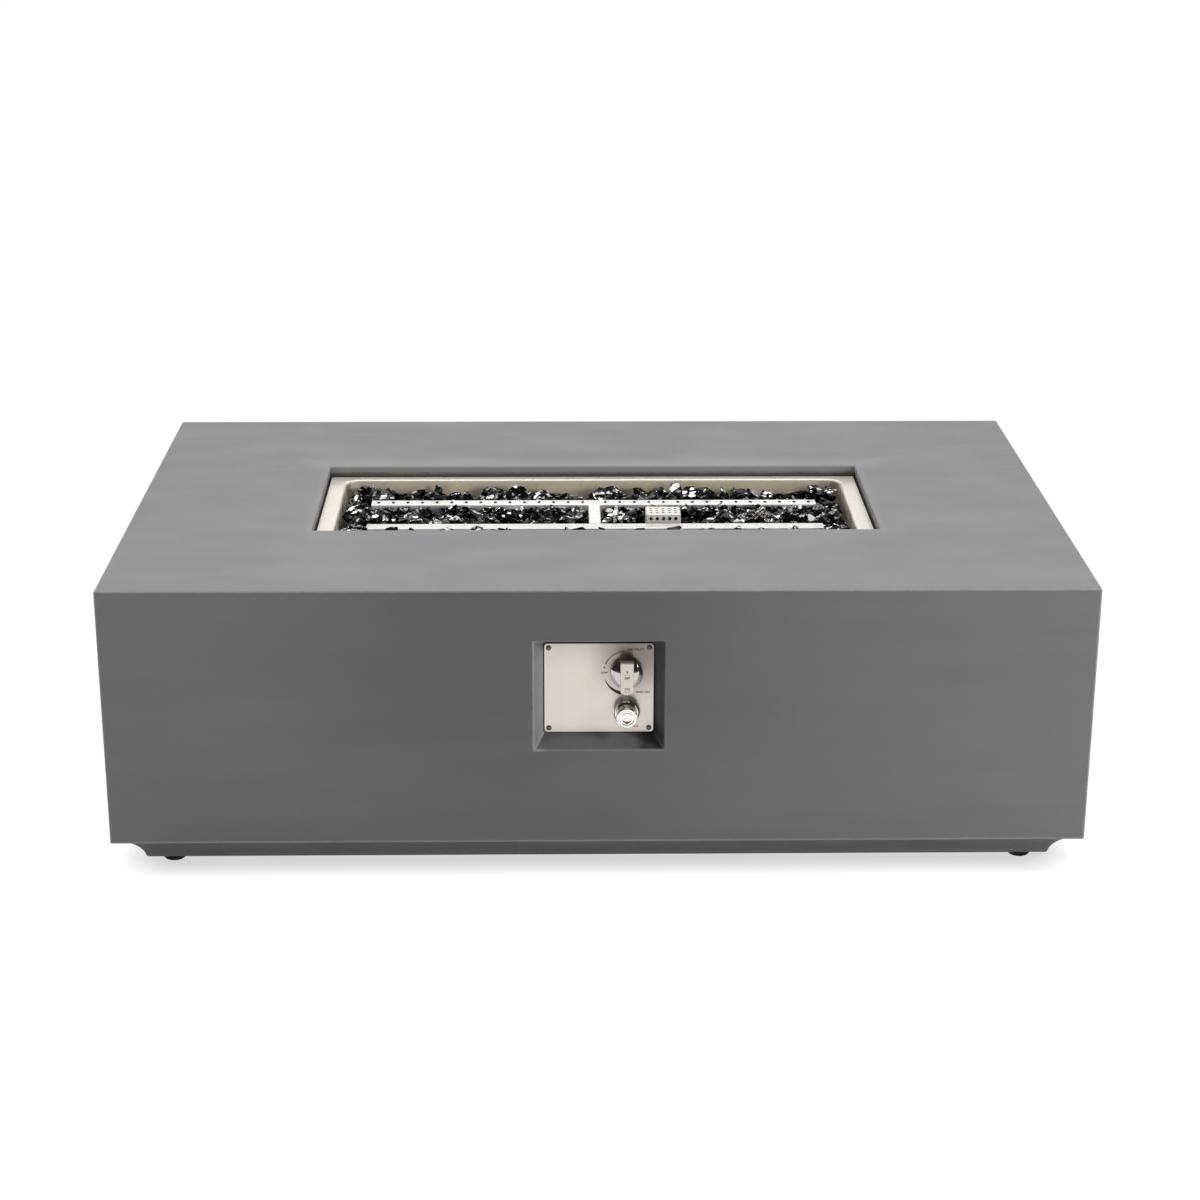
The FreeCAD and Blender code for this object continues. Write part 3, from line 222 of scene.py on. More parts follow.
def concrete_finish():
    """Cast concrete, clouded and faintly streaked along its length, with grain, pores and paler edges, and
    with painted shade, shadow and light on the front, in the control recess and in the burner opening.
    """
    finish = Finish("concrete", (0.268, 0.268, 0.272), 0.6, Specular_IOR_Level=0.3)
    x, y, z = (finish.along(axis) for axis in "XYZ")
    wide, deep = finish.along("X", True), finish.along("Y", True)
    clouds = finish.span(finish.noise(2.2, (1, 1, 2), 3), 0.35, 0.65, 0, 0.6)
    streaks = finish.span(finish.noise(5, (0.35, 1, 6), 5, 0.6), 0.42, 0.72, 0, 0.45)
    wiped = finish.span(finish.noise(9, (1, 0.25, 1), 4, 0.6, 1.5), 0.5, 0.75, 0, 0.3)
    grain = finish.span(finish.noise(900, detail=2), 0.35, 0.65, 0, 0.3)
    ragged = finish.product(finish.less(finish.noise(60, detail=5, rough=0.7), 0.5), 4)
    # Painted shade: the middle of the front is darker than its ends, which the side lamps light more.
    middle = finish.product(finish.span(x, -500, -120, 0, 1), finish.span(x, 20, 340, 1, 0))
    painted_front_shade = finish.product(middle, finish.span(y, -382, -381.5, 1, 0), finish.span(z, 100, 300, 0.25, 0.7))

    # Paler arrises round the top and along the foot of the sides: partly wear, partly a painted highlight
    # where the rounded edges catch the light.
    from_end, from_side = finish.less(HALF_LENGTH, wide), finish.less(HALF_WIDTH, deep)
    near, far = finish.least(from_end, from_side), finish.most(from_end, from_side)
    top_edge = finish.most(near, finish.least(far, finish.less(HEIGHT, z)))
    foot_edge = finish.most(near, finish.off(z, COVE_TOP))
    wear_and_highlight = finish.span(finish.total(finish.least(top_edge, foot_edge), ragged), 0.8, 3.4, 0.5, 0)

    # The control recess: a painted highlight along its edge and mitres, painted light on its left wall,
    # painted shade on its right wall, sill and lower right corner, and a painted shadow of the igniter button
    # on the sill.
    beside = finish.less(wide, RECESS_HALF_WIDTH)
    above = finish.less(finish.off(z, RECESS_Z), RECESS_HALF_HEIGHT)
    from_mouth = finish.most(beside, above)
    mouth_edge = finish.most(finish.off(from_mouth, 0), finish.total(y, HALF_WIDTH - 1.5))
    mitre = finish.most(finish.off(beside, above), from_mouth)
    at_front = finish.span(y, -300, -200, 1, 0)
    from_edge = finish.total(finish.least(mouth_edge, mitre), ragged)
    # Painted highlight along the mouth's edge and mitres, strongest on the left.
    painted_edge_highlight = finish.product(finish.span(from_edge, 0.4, 2, 0.5, 0), at_front,
                            finish.span(x, -78, -60, 1, 0.22))
    in_recess = finish.product(finish.span(y, -381.5, -379, 0, 1), at_front,
                               finish.span(from_mouth, -0.5, 2, 1, 0))
    # Painted shade: the right wall is darkened most, the sill less, the left wall not at all.
    sunk = finish.product(in_recess, finish.total(finish.span(x, -78, -66, 0, 0.39),
                                                  finish.span(x, 62, 74, 0, 0.61)))
    on_side = finish.span(finish.less(beside, above), -0.5, 0.5, 0, 1)
    # Painted light on the left wall of the recess.
    left_wall = finish.product(in_recess, on_side, finish.span(z, 285, 310, 1, 0),
                               finish.span(x, -50, -20, 1, 0), finish.span(x, -78, -69, 0.3, 0.8))
    # Painted shadow of the igniter button on the sill.
    from_button_shadow = finish.distance(finish.product(finish.less(x, 4), 0.55), finish.less(z, 184))
    stain_and_shadow = finish.product(in_recess, finish.span(from_button_shadow, 4, 8.5, 0.45, 0))
    # Painted shadow in the lower right corner of the recess.
    from_corner = finish.most(finish.off(x, 64), finish.off(z, 183))
    corner = finish.product(in_recess, finish.span(from_corner, 3, 25, 0.92, 0))

    # The burner opening: painted shade on its end walls and along the foot of its walls, painted light on its
    # back wall, and a painted shadow in the gap at both ends of the pan.
    from_hole = finish.most(finish.less(wide, OPENING_HALF_LENGTH), finish.less(deep, OPENING_HALF_WIDTH))
    inside = finish.span(from_hole, 0.2, 1.2, 1, 0)
    in_hole = finish.product(inside, finish.span(z, 380.2, 381, 1, 0))
    # The end walls: painted shade on them, and the mask for the gap at their foot.
    end_wall = finish.product(in_hole, finish.span(deep, 142.5, 143.5, 1, 0))
    # Painted light on the back wall of the opening.
    back_wall = finish.product(in_hole, finish.span(deep, 142.5, 143.5, 0, 0.45))
    rim = finish.span(finish.total(from_hole, ragged), 2, 14, 0.3, 0)
    behind = finish.product(finish.span(from_hole, 0, 60, 0.32, 0), finish.span(y, 120, 150, 0, 1))
    # Painted shade along the foot of the opening's walls.
    painted_foot_shade = finish.product(inside, finish.span(finish.total(z, ragged), 368.5, 375.5, 0.75, 0))
    # Painted shadow, near black, in the gap between the end walls and the pan.
    painted_gap_shadow = finish.product(end_wall, finish.span(z, 371.2, 372.8, 1, 0))

    finish.tinted((clouds, 1.1), (streaks, 0.93), (wiped, 1.1), (grain, 0.86), (painted_front_shade, 0.72), (behind, 1.5),
                  (rim, 1.3), (sunk, 0.42), (left_wall, 1.7), (corner, 0.12), (stain_and_shadow, 0.3), (end_wall, 0.8),
                  (back_wall, 1.5), (painted_foot_shade, (0.03, 0.028, 0.022)), (painted_gap_shadow, (0.004, 0.004, 0.004)),
                  (wear_and_highlight, 1.8), (painted_edge_highlight, 2.2))
    finish.polished(finish.noise(14, (0.5, 1, 3), 4), 0.52, 0.7)
    finish.relief(finish.noise(7, (1, 1, 1.5), 2), 0.5)
    finish.relief(finish.noise(420, detail=4, rough=0.65), 0.05)
    finish.relief(finish.span(finish.cells(150), 0.02, 0.12), 0.08)
    return finish.material


def plate_finish():
    """The control plate: warm brushed stainless, with painted shade round the knob and towards its top right.
    """
    finish = Finish("plate_steel", (1.0, 0.93, 0.83), 0.3, 0.74)
    x, z = finish.along("X"), finish.along("Z")
    lines = finish.noise(1500, (0.06, 1, 1), 5, 0.7)
    grain = finish.noise(2600, detail=3)
    clouds = finish.noise(16, detail=3)
    # Painted shade round the knob, centred above it and to its right.
    painted_knob_shade = finish.span(finish.distance(finish.less(x, 44), finish.less(z, 286)), 10, 66, 0.88, 0)
    # Painted shade towards the top of the plate, strongest on the right.
    top = finish.product(finish.span(z, 262, 305, 0, 0.7), finish.span(x, -50, 60, 0.3, 1))
    finish.tinted((finish.span(lines, 0.4, 0.7, 0, 0.26), 0.84), (finish.span(grain, 0.4, 0.7, 0, 0.1), 0.75),
                  (finish.span(clouds, 0.4, 0.7, 0, 0.12), 0.9), (top, 0.45), (painted_knob_shade, (0.32, 0.28, 0.24)))
    finish.polished(lines, 0.29, 0.35)
    finish.relief(finish.noise(5, detail=1), 0.2)
    return finish.material


def pan_finish():
    """Drawn stainless: a bright satin flange, and walls that heat has turned tan, with a painted highlight
    and painted gold reflections at both ends.
    """
    finish = Finish("pan_steel", (0.9, 0.84, 0.74), 0.25)
    walls = finish.span(finish.along("Z"), 362, 365, 1, 0)
    # Painted highlight: the ends of the walls are paler, standing in for the bright corners.
    ends = finish.product(walls, finish.span(finish.along("X", True), 318, 338, 0, 1))
    clouds = finish.noise(22, (1, 1, 1.6), 3, 0.5)
    stain_and_shadow = finish.product(walls, finish.span(finish.noise(30, (0.6, 1, 2), 4, 0.6), 0.5, 0.72, 0, 0.2))
    runs = finish.noise(55, (1, 1, 0.45), 2, 0.5, 1.2)
    # Painted reflection: gold streaks on the ends of the walls.
    painted_reflection_streak = finish.product(ends, finish.span(runs, 0.47, 0.58, 0, 0.9))
    finish.tinted((walls, (1.0, 0.89, 0.65)), (finish.span(clouds, 0.4, 0.7, 0, 0.15), (0.88, 0.82, 0.7)),
                  (stain_and_shadow, (0.82, 0.64, 0.42)), (ends, (1.0, 0.97, 0.84)), (painted_reflection_streak, (0.5, 0.4, 0.2)))
    finish.feed(finish.shader, "Metallic", finish.span(walls, 0, 1, 0.3, 0.05))
    finish.polished(clouds, 0.24, 0.34)
    finish.relief(finish.noise(6, detail=1), 0.3)
    return finish.material


def burner_finish(name, colour, sooty):
    """Bright stainless tube, with a dark ring of soot round each gas port of a sooty tube."""
    finish = Finish(name, colour, 0.28, 0.25)
    layers = [(finish.span(finish.noise(14, (0.5, 1, 1), 4, 0.6), 0.42, 0.7, 0, 0.3), 0.84)]
    if sooty:
        along = finish.math("PINGPONG", finish.less(finish.along("X", True), FIRST_PORT), PORT_PITCH / 2)
        across = finish.product(finish.less(finish.along("Y", True), TUBE_Y), 0.45)
        soot = finish.product(finish.span(finish.distance(along, across), 2, 2.3, 1, 0),
                              finish.span(finish.along("Z"), PORTS_Z, PORTS_Z + 0.3, 0, 1))
        layers.append((soot, (0.004, 0.004, 0.004)))
        finish.feed(finish.shader, "Specular IOR Level", finish.span(soot, 0, 1, 0.5, 0))
    finish.tinted(*layers)
    finish.polished(finish.noise(300, (0.03, 1, 1), 4), 0.24, 0.38)
    finish.relief(finish.noise(20, detail=1), 0.05)
    return finish.material


def chrome_finish(name, colour):
    finish = Finish(name, colour, 0.05, 1.0)
    smudges = finish.noise(90, detail=4, rough=0.6, swirl=0.8)
    finish.tinted((finish.span(smudges, 0.5, 0.8, 0, 0.35), 0.8))
    finish.polished(smudges, 0.02, 0.06)
    finish.relief(finish.noise(60, detail=1), 0.02)
    return finish.material


def knob_finish():
    """Chrome on the domed skirt, with painted light making the lower half of its rim paler, and a satin
    handle across it.
    """
    finish = Finish("knob_chrome", (0.66, 0.63, 0.6), 0.05, 1.0)
    handle = finish.span(finish.along("Y"), -369.3, -368.8, 1, 0)
    high = finish.less(finish.along("Z"), KNOB_Z)
    from_middle = finish.distance(finish.less(finish.along("X"), KNOB_X), high)
    # Painted light: the lower half of the rim is paler and less metallic.
    rim = finish.product(finish.span(from_middle, 14, 16.5, 0, 1), finish.less(1, handle),
                         finish.span(high, -3, 3, 1, 0))
    smudges = finish.noise(90, detail=2, rough=0.5)
    finish.tinted((finish.span(smudges, 0.5, 0.8, 0, 0.2), 0.8), (rim, (0.96, 0.9, 0.84)),
                  (handle, (1.0, 0.92, 0.8)))
    dull = finish.most(finish.product(handle, 0.45), finish.product(rim, 0.75))
    finish.feed(finish.shader, "Metallic", finish.less(1, dull))
    satin = finish.most(finish.product(handle, 0.3), finish.product(rim, 0.35))
    finish.feed(finish.shader, "Roughness", finish.total(finish.span(smudges, 0.3, 0.7, 0.04, 0.1), satin))
    return finish.material


def small_part_finish(name, colour, roughness, metallic, axis=None, pitch=1.5, depth=0.25, speckle=0.4):
    """A turned, plated or moulded small part, with thread or knurl rings where an axis is given."""
    finish = Finish(name, colour, roughness, metallic)
    mottled = finish.noise(180, detail=5, rough=0.65)
    finish.tinted((finish.span(mottled, 0.4, 0.75, 0, speckle), 0.7))
    finish.polished(mottled, roughness * 0.8, min(roughness * 1.3, 0.95))
    finish.relief(finish.noise(700, detail=3), 0.02)
    if axis:
        finish.relief(finish.rings(axis, pitch), depth)
    return finish.material


def glass_finish():
    """Broken black glass: deep gloss and rippled breaks, with painted highlights in metallic and faintly
    paler patches.
    """
    finish = Finish("black_fire_glass", (0.002, 0.002, 0.0025), 0.05, IOR=1.5)
    ripples = finish.noise(70, detail=2, swirl=1.4)
    fine = finish.noise(260, (1, 1, 0.4), 3, 0.6, 1.5)
    breaks = finish.cells(150, (1, 1.4, 1.8), "Color")
    # Painted highlight: metallic patches that act as glints.
    shine = finish.most(finish.span(breaks, 0.73, 0.74, 0, 1),
                        finish.span(finish.cells(70, value="Color"), 0.84, 0.85, 0, 1))
    # Painted highlight: faintly paler patches where the ripples catch the light.
    pale = finish.product(finish.span(finish.cells(110, value="Color"), 0.56, 0.57, 0, 1),
                          finish.span(fine, 0.5, 0.62, 0.1, 1))
    finish.tinted((pale, (0.03, 0.029, 0.028)), (shine, (0.68, 0.67, 0.65)))
    finish.feed(finish.shader, "Metallic", shine)
    finish.feed(finish.shader, "Specular IOR Level", finish.span(ripples, 0.44, 0.6, 0.02, 0.55))
    finish.polished(fine, 0.02, 0.07)
    finish.relief(ripples, 1.8)
    finish.relief(breaks, 1.1)
    finish.relief(finish.noise(420, detail=2), 0.05)
    return finish.material


def ink_finish(name, colour):
    """Screen print on metal, in slightly uneven ink."""
    finish = Finish(name, colour, 0.45)
    ink = finish.noise(1600, detail=3)
    finish.tinted((finish.span(ink, 0.4, 0.7, 0, 0.3), 1.6))
    finish.polished(ink, 0.35, 0.55)
    return finish.material


def dress_the_nodes():
    """Give every CAD node the finish of its material slot, or a finish of its own."""
    zinc, brass = (0.55, 0.55, 0.53), (0.72, 0.5, 0.22)
    finishes = {
        "concrete": concrete_finish(),
        "foot_black": small_part_finish("moulded_foot", (0.004, 0.004, 0.004), 0.75, 0.0),
        "zinc_steel": small_part_finish("zinc_plate", zinc, 0.38, 1.0),
        "pan_steel": pan_finish(),
        "burner_steel": burner_finish("burner_steel", (0.84, 0.83, 0.78), False),
        "black_fitting": small_part_finish("black_iron", (0.035, 0.034, 0.033), 0.55, 0.3),
        "brass": small_part_finish("turned_brass", brass, 0.3, 1.0),
        "valve_alloy": small_part_finish("cast_alloy", (0.56, 0.57, 0.58), 0.42, 1.0),
        "ceramic": small_part_finish("glazed_ceramic", (0.78, 0.76, 0.7), 0.22, 0.0, speckle=0.2),
        "probe_steel": small_part_finish("probe_steel", (0.5, 0.47, 0.43), 0.3, 1.0),
        "grommet_rubber": small_part_finish("black_rubber", (0.015, 0.015, 0.015), 0.7, 0.0),
        "plate_steel": plate_finish(),
        "dark_screw": small_part_finish("dark_screw_steel", (0.2, 0.185, 0.165), 0.25, 0.95),
        "chrome": chrome_finish("bright_chrome", (0.88, 0.87, 0.84)),
        "black_plastic": small_part_finish("moulded_black", (0.02, 0.02, 0.021), 0.42, 0.0),
        "cell_metal": small_part_finish("cell_sleeve", (0.2, 0.2, 0.21), 0.35, 0.4),
        "coated_line": small_part_finish("coated_line", (0.3, 0.3, 0.31), 0.5, 0.0, "Y", 3, 0.6),
        "copper_lead": small_part_finish("drawn_copper", (0.68, 0.33, 0.2), 0.3, 1.0),
        "lead_rubber": small_part_finish("silicone_lead", (0.03, 0.03, 0.03), 0.55, 0.0),
        "fire_glass": glass_finish(),
    }
    # Painted light: the rear and cross tubes take a lighter copy of the front tube's steel, with soot rings
    # round their ports.
    sooty = burner_finish("sooty_burner_steel", (0.97, 0.96, 0.92), True)
    by_name = {
        "burner_rear_tube": sooty,
        "burner_cross_tube": sooty,
        "control_knob": knob_finish(),
        "igniter_button": chrome_finish("button_chrome", (0.98, 0.96, 0.93)),
        "foot_stem": small_part_finish("zinc_thread", zinc, 0.35, 1.0, "Z", 1.25, 0.5),
        "gas_inlet": small_part_finish("brass_thread", brass, 0.3, 1.0, "Z", 1.41, 0.35),
        "panel_nut": small_part_finish("zinc_nut", (0.5, 0.5, 0.49), 0.4, 1.0, "Y", 0.7, 0.1),
    }
    for row in frame["record"]["subparts"]:
        material = finishes[row["material_slot"]]
        for start, own in by_name.items():
            if row["node"].startswith(start):
                material = own
        materials = nodes[row["node"]].data.materials
        materials.clear()
        materials.append(material)
    return finishes


# The studio: a white floor, a soft light overhead, and a room that is white behind the table
# and dark behind the camera. The camera stands before the controls and looks down on the table.

def set_up_camera():
    pitch, yaw, roll = math.radians(19.579), math.radians(1.107), math.radians(0.194)
    ahead = Vector((math.sin(yaw) * math.cos(pitch), math.cos(yaw) * math.cos(pitch), -math.sin(pitch)))
    right = Vector((math.cos(yaw), -math.sin(yaw), 0))
    up = right.cross(ahead)
    across = math.cos(roll) * right + math.sin(roll) * up
    upward = math.cos(roll) * up - math.sin(roll) * right
    data = bpy.data.cameras.new("camera")
    data.sensor_width = 36
    data.lens = 74.36
    data.clip_end = 200
    camera = bpy.data.objects.new("camera", data)
    turn = Matrix((across, upward, -ahead)).transposed().to_4x4()
    camera.matrix_world = Matrix.Translation((-0.0542, -3.2046, 1.3724)) @ turn
    bpy.context.scene.collection.objects.link(camera)
    bpy.context.scene.camera = camera


def add_light(name, place, aim, width, depth, power, glossy=True):
    data = bpy.data.lights.new(name, "AREA")
    data.shape = "RECTANGLE"
    data.size = width
    data.size_y = depth
    data.energy = power
    light = bpy.data.objects.new(name, data)
    light.visible_camera = False
    light.visible_glossy = glossy
    turn = (Vector(aim) - Vector(place)).to_track_quat("-Z", "Y").to_matrix().to_4x4()
    light.matrix_world = Matrix.Translation(place) @ turn
    bpy.context.scene.collection.objects.link(light)


def light_the_room():
    world = bpy.data.worlds.new("room")
    bpy.context.scene.world = world
    world.use_nodes = True
    room = Wiring(world.node_tree)
    background = room.tree.nodes["Background"]
    direction = room.add("ShaderNodeSeparateXYZ")
    room.feed(direction, "Vector", room.add("ShaderNodeTexCoord").outputs["Generated"])
    behind_table = room.span(direction.outputs["Y"], -0.35, 0.45, 0.03, 1.0)
    camera_ray = room.add("ShaderNodeLightPath").outputs["Is Camera Ray"]
    room.feed(background, "Color", (1, 1, 1, 1))
    room.feed(background, "Strength", room.most(behind_table, camera_ray))


def lay_the_floor():
    """A floor that shows white, darker in gloss before the camera, and clear from below."""
    sheet = bmesh.new()
    bmesh.ops.create_grid(sheet, x_segments=1, y_segments=1, size=40)
    data = bpy.data.meshes.new("floor")
    sheet.to_mesh(data)
    sheet.free()
    floor = bpy.data.objects.new("floor", data)
    bpy.context.scene.collection.objects.link(floor)
    white = 1.12
    surface = Finish("white_floor", (0.43, 0.43, 0.43), 1.0, Specular_IOR_Level=0.0)
    rays = surface.add("ShaderNodeLightPath").outputs
    seen = surface.most(rays["Is Camera Ray"], rays["Is Glossy Ray"], rays["Is Transmission Ray"])
    sweep = surface.span(surface.along("Y"), -2500, -1800, 0.08, 1.0)
    brightness = surface.least(surface.total(surface.product(rays["Is Camera Ray"], white), sweep), white)
    contact = surface.add("ShaderNodeAmbientOcclusion")
    surface.feed(contact, "Distance", 45 * MM)
    contact_shadow = surface.span(contact.outputs["AO"], 0.3, 0.8, 0.66, 1.0, "LINEAR")
    glow = surface.add("ShaderNodeEmission")
    surface.feed(glow, "Strength", surface.product(brightness, contact_shadow))
    lit = surface.mixed(surface.product(seen, 0.88), surface.shader.outputs[0], glow.outputs[0])
    from_below = surface.add("ShaderNodeNewGeometry").outputs["Backfacing"]
    clear = surface.add("ShaderNodeBsdfTransparent").outputs[0]
    surface.feed(surface.tree.nodes["Material Output"], "Surface", surface.mixed(from_below, lit, clear))
    data.materials.append(surface.material)


# Making pieces

def finished_piece(name, mesh, material, body, smooth_below=None):
    """Turn a bmesh into a piece that rides on a body; edges under smooth_below degrees are shaded round."""
    for face in mesh.faces:
        face.smooth = smooth_below is not None
    if smooth_below is not None:
        for edge in mesh.edges:
            edge.smooth = edge.calc_face_angle(math.pi) < math.radians(smooth_below)
    data = bpy.data.meshes.new(name)
    mesh.to_mesh(data)
    mesh.free()
    data.materials.append(material)
    piece = bpy.data.objects.new(name, data)
    bpy.context.scene.collection.objects.link(piece)
    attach(piece, body)
    return piece


def mesh_of(shape, name):
    """The mesh of a bmesh, which is used up."""
    data = bpy.data.meshes.new(name)
    shape.to_mesh(data)
    shape.free()
    return data


def corners_of(made):
    return [part for part in made["geom"] if isinstance(part, bmesh.types.BMVert)]


def add_copy(mesh, source, matrix):
    """Add a copy of a mesh to a bmesh, placed by a matrix."""
    before = len(mesh.verts)
    mesh.from_mesh(source)
    mesh.verts.ensure_lookup_table()
    bmesh.ops.transform(mesh, matrix=matrix, verts=mesh.verts[before:])


def facing_front(x, y, z):
    """Place something drawn flat, up along Y, on an upright face that looks towards the camera."""
    upright = Matrix.Rotation(math.pi / 2, 4, "X")
    return Matrix.Translation(Vector((x, y, z)) * MM) @ upright @ Matrix.Scale(MM, 4)


# Fire glass

def glass_shard(chance, length):
    """One chip of broken glass: a block with its corners struck off."""
    chip = bmesh.new()
    bmesh.ops.create_cube(chip, size=1)
    for strike in range(9):
        lean = Vector([chance.uniform(-1, 1) for axis in range(3)]).normalized()
        reach = chance.uniform(0.28, 0.46)
        cut = bmesh.ops.bisect_plane(chip, geom=chip.verts[:] + chip.edges[:] + chip.faces[:],
                                     plane_co=lean * reach, plane_no=lean, clear_outer=True)
        rim = [part for part in cut["geom_cut"] if isinstance(part, bmesh.types.BMEdge)]
        if rim:
            bmesh.ops.contextual_create(chip, geom=rim)
    bmesh.ops.remove_doubles(chip, verts=chip.verts, dist=0.02)
    bmesh.ops.dissolve_degenerate(chip, dist=0.01, edges=chip.edges)
    bmesh.ops.triangulate(chip, faces=[face for face in chip.faces if len(face.verts) > 4])
    bmesh.ops.recalc_face_normals(chip, faces=chip.faces)
    stretch = (length, length * chance.uniform(0.55, 0.85), length * chance.uniform(0.35, 0.62))
    bmesh.ops.scale(chip, vec=stretch, verts=chip.verts)
    return mesh_of(chip, "shard")


def glass_bed():
    """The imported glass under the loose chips, with an uneven top."""
    long, wide, top, thickness = 678 * MM, 246 * MM, 330 * MM, 22 * MM
    bed = bmesh.new()
    bmesh.ops.create_grid(bed, x_segments=68, y_segments=22, size=0.5)
    bmesh.ops.scale(bed, vec=(long, wide, 1), verts=bed.verts)
    chance = random.Random(5)
    for vert in bed.verts:
        if not vert.is_boundary:
            vert.co.z += chance.uniform(-3, 3) * MM
    for vert in corners_of(bmesh.ops.extrude_face_region(bed, geom=bed.faces[:])):
        vert.co.z = -thickness
    bmesh.ops.translate(bed, vec=(0, 0, top), verts=bed.verts)
    bmesh.ops.recalc_face_normals(bed, faces=bed.faces)
    return bed


def spread_fire_glass(material):
    """Loose chips between and around the burner tubes, heaped at both ends and along the back."""
    chance = random.Random(29)
    shards = [glass_shard(chance, chance.uniform(22, 34) * MM) for kind in range(16)]
    pan_half_length, pan_half_width = 342 * MM, 125 * MM
    kept_clear = [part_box(name) for name in ("burner_rear_tube", "burner_front_tube", "burner_cross_tube",
                                            "pilot_shield", "burner_nipple")]
    heap = glass_bed()

    def fits(corners):
        low = Vector([min(corner[axis] for corner in corners) for axis in range(3)])
        high = Vector([max(corner[axis] for corner in corners) for axis in range(3)])
        if max(-low.x, high.x) > pan_half_length or max(-low.y, high.y) > pan_half_width:
            return False
        for box_low, box_high in kept_clear:
            if all(high[axis] > box_low[axis] and low[axis] < box_high[axis] for axis in range(3)):
                return False
        return True

    # How many chips, their reach along X, Y and Z in millimetres, and their sizes.
    layers = (
        (360, (-340, 340), (-122, 122), (332, 341), (0.75, 1.15)),    # over the whole bed
        (240, (-338, 338), (-120, 120), (342, 348), (0.75, 1.1)),     # over those
        (110, (-330, 330), (24, 36), (346, 351), (0.55, 0.8)),        # before the rear tube
        (170, (-326, 326), (30, 39), (346, 351), (0.4, 0.6)),         # small ones close to it
        (90, (-338, 338), (-38, 28), (346, 350), (0.9, 1.2)),         # large ones between the tubes
        (54, (-338, 338), (72, 116), (347, 354), (0.75, 1.1)),        # along the back
        (44, (-338, -306), (-118, 118), (350, 357), (0.8, 1.1)),      # at the left end
        (44, (306, 338), (-118, 118), (350, 357), (0.8, 1.1)),        # at the right end
        (46, (-300, 300), (-92, -72), (351, 357), (0.65, 0.95)),      # before the front tube
    )
    for count, *reaches, sizes in layers:
        placed = 0
        for attempt in range(count * 6):
            if placed == count:
                break
            spot = [chance.uniform(*reach) * MM for reach in reaches]
            turn = Matrix.Rotation(chance.uniform(0, math.tau), 4, "Z")
            turn = turn @ Matrix.Rotation(chance.gauss(0, 0.7), 4, "X")
            turn = turn @ Matrix.Rotation(chance.gauss(0, 0.6), 4, "Y")
            matrix = Matrix.Translation(spot) @ turn @ Matrix.Scale(chance.uniform(*sizes), 4)
            shard = chance.choice(shards)
            if fits([matrix @ vert.co for vert in shard.vertices]):
                add_copy(heap, shard, matrix)
                placed += 1
    glass = finished_piece("fire_glass_heap", heap, material, "table")
    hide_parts("fire_glass")


# Controls

def thickened(flat):
    """Give a flat mark the thickness of the print."""
    bmesh.ops.recalc_face_normals(flat, faces=flat.faces)
    raised = bmesh.ops.extrude_face_region(flat, geom=flat.faces[:])
    bmesh.ops.translate(flat, vec=(0, 0, PRINT_THICKNESS), verts=corners_of(raised))
    bmesh.ops.recalc_face_normals(flat, faces=flat.faces)
    return flat


def arc_strip(radius, width_from, width_to, start, end):
    """A printed arc, its width changing evenly; angles in degrees, anticlockwise from the right."""
    strip = bmesh.new()
    first = math.radians(start)
    inner = strip.verts.new((radius * math.cos(first), radius * math.sin(first), 0))
    outer = strip.verts.new(inner.co * (1 + 1 / radius))
    edge = strip.edges.new((inner, outer))
    bmesh.ops.spin(strip, geom=[inner, outer, edge], axis=(0, 0, 1), cent=(0, 0, 0),
                   angle=math.radians(end - start), steps=28)
    for vert in strip.verts:
        angle = math.degrees(math.atan2(vert.co.y, vert.co.x)) % 360
        along = (angle - start % 360) / (end - start)
        width = width_from + (width_to - width_from) * along
        side = vert.co.length - radius - 0.5
        vert.co *= (radius + side * width) / vert.co.length
    return thickened(strip)


def dot(radius, sides=24, stretch=1.0):
    flat = bmesh.new()
    bmesh.ops.create_circle(flat, cap_ends=True, segments=sides, radius=radius)
    bmesh.ops.scale(flat, vec=(1, stretch, 1), verts=flat.verts)
    return thickened(flat)


def word(text, height):
    """Lettering as a mesh, centred, in millimetres."""
    curve = bpy.data.curves.new(text, "FONT")
    curve.body = text
    curve.size = height
    curve.align_x = "CENTER"
    curve.align_y = "CENTER"
    curve.extrude = PRINT_THICKNESS / 2
    curve.offset = height * 0.03
    curve.resolution_u = 3
    holder = bpy.data.objects.new(text, curve)
    letters = bmesh.new()
    letters.from_mesh(bpy.data.meshes.new_from_object(holder))
    bmesh.ops.remove_doubles(letters, verts=letters.verts, dist=0.0005)
    bmesh.ops.recalc_face_normals(letters, faces=letters.faces)
    bpy.data.objects.remove(holder)
    return letters


def printed(face, *marks):
    """Gather marks on a face; each comes with its place across and up, in millimetres."""
    gathered = bmesh.new()
    for mark, across, up in marks:
        add_copy(gathered, mesh_of(mark, "mark"), face @ Matrix.Translation((across, up, 0)))
    return gathered


def print_the_dial(ink):
    """The flame scale round the knob: a thin line for low that swells to a wedge for high."""
    plate_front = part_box("control_plate")[0].y / MM - 0.01
    dial = facing_front(KNOB_X, plate_front, KNOB_Z)
    marks = printed(dial, (arc_strip(28.2, 0.6, 1.3, 95, 157), 0, 0), (dot(1.0, 4, 1.6), -27.6, 6.6),
                    (arc_strip(28.2, 0.5, 4.8, 198, 257), 0, 0), (word("OFF / PILOT", 3.9), 11, 30),
                    (word("LOW", 3.6), -27.6, -0.4), (word("HIGH / ON", 3.5), 20.2, -26.2),
                    (word("PUSH TO IGNITE", 2.9), 4, -72))
    finished_piece("dial_print", marks, ink, "table")


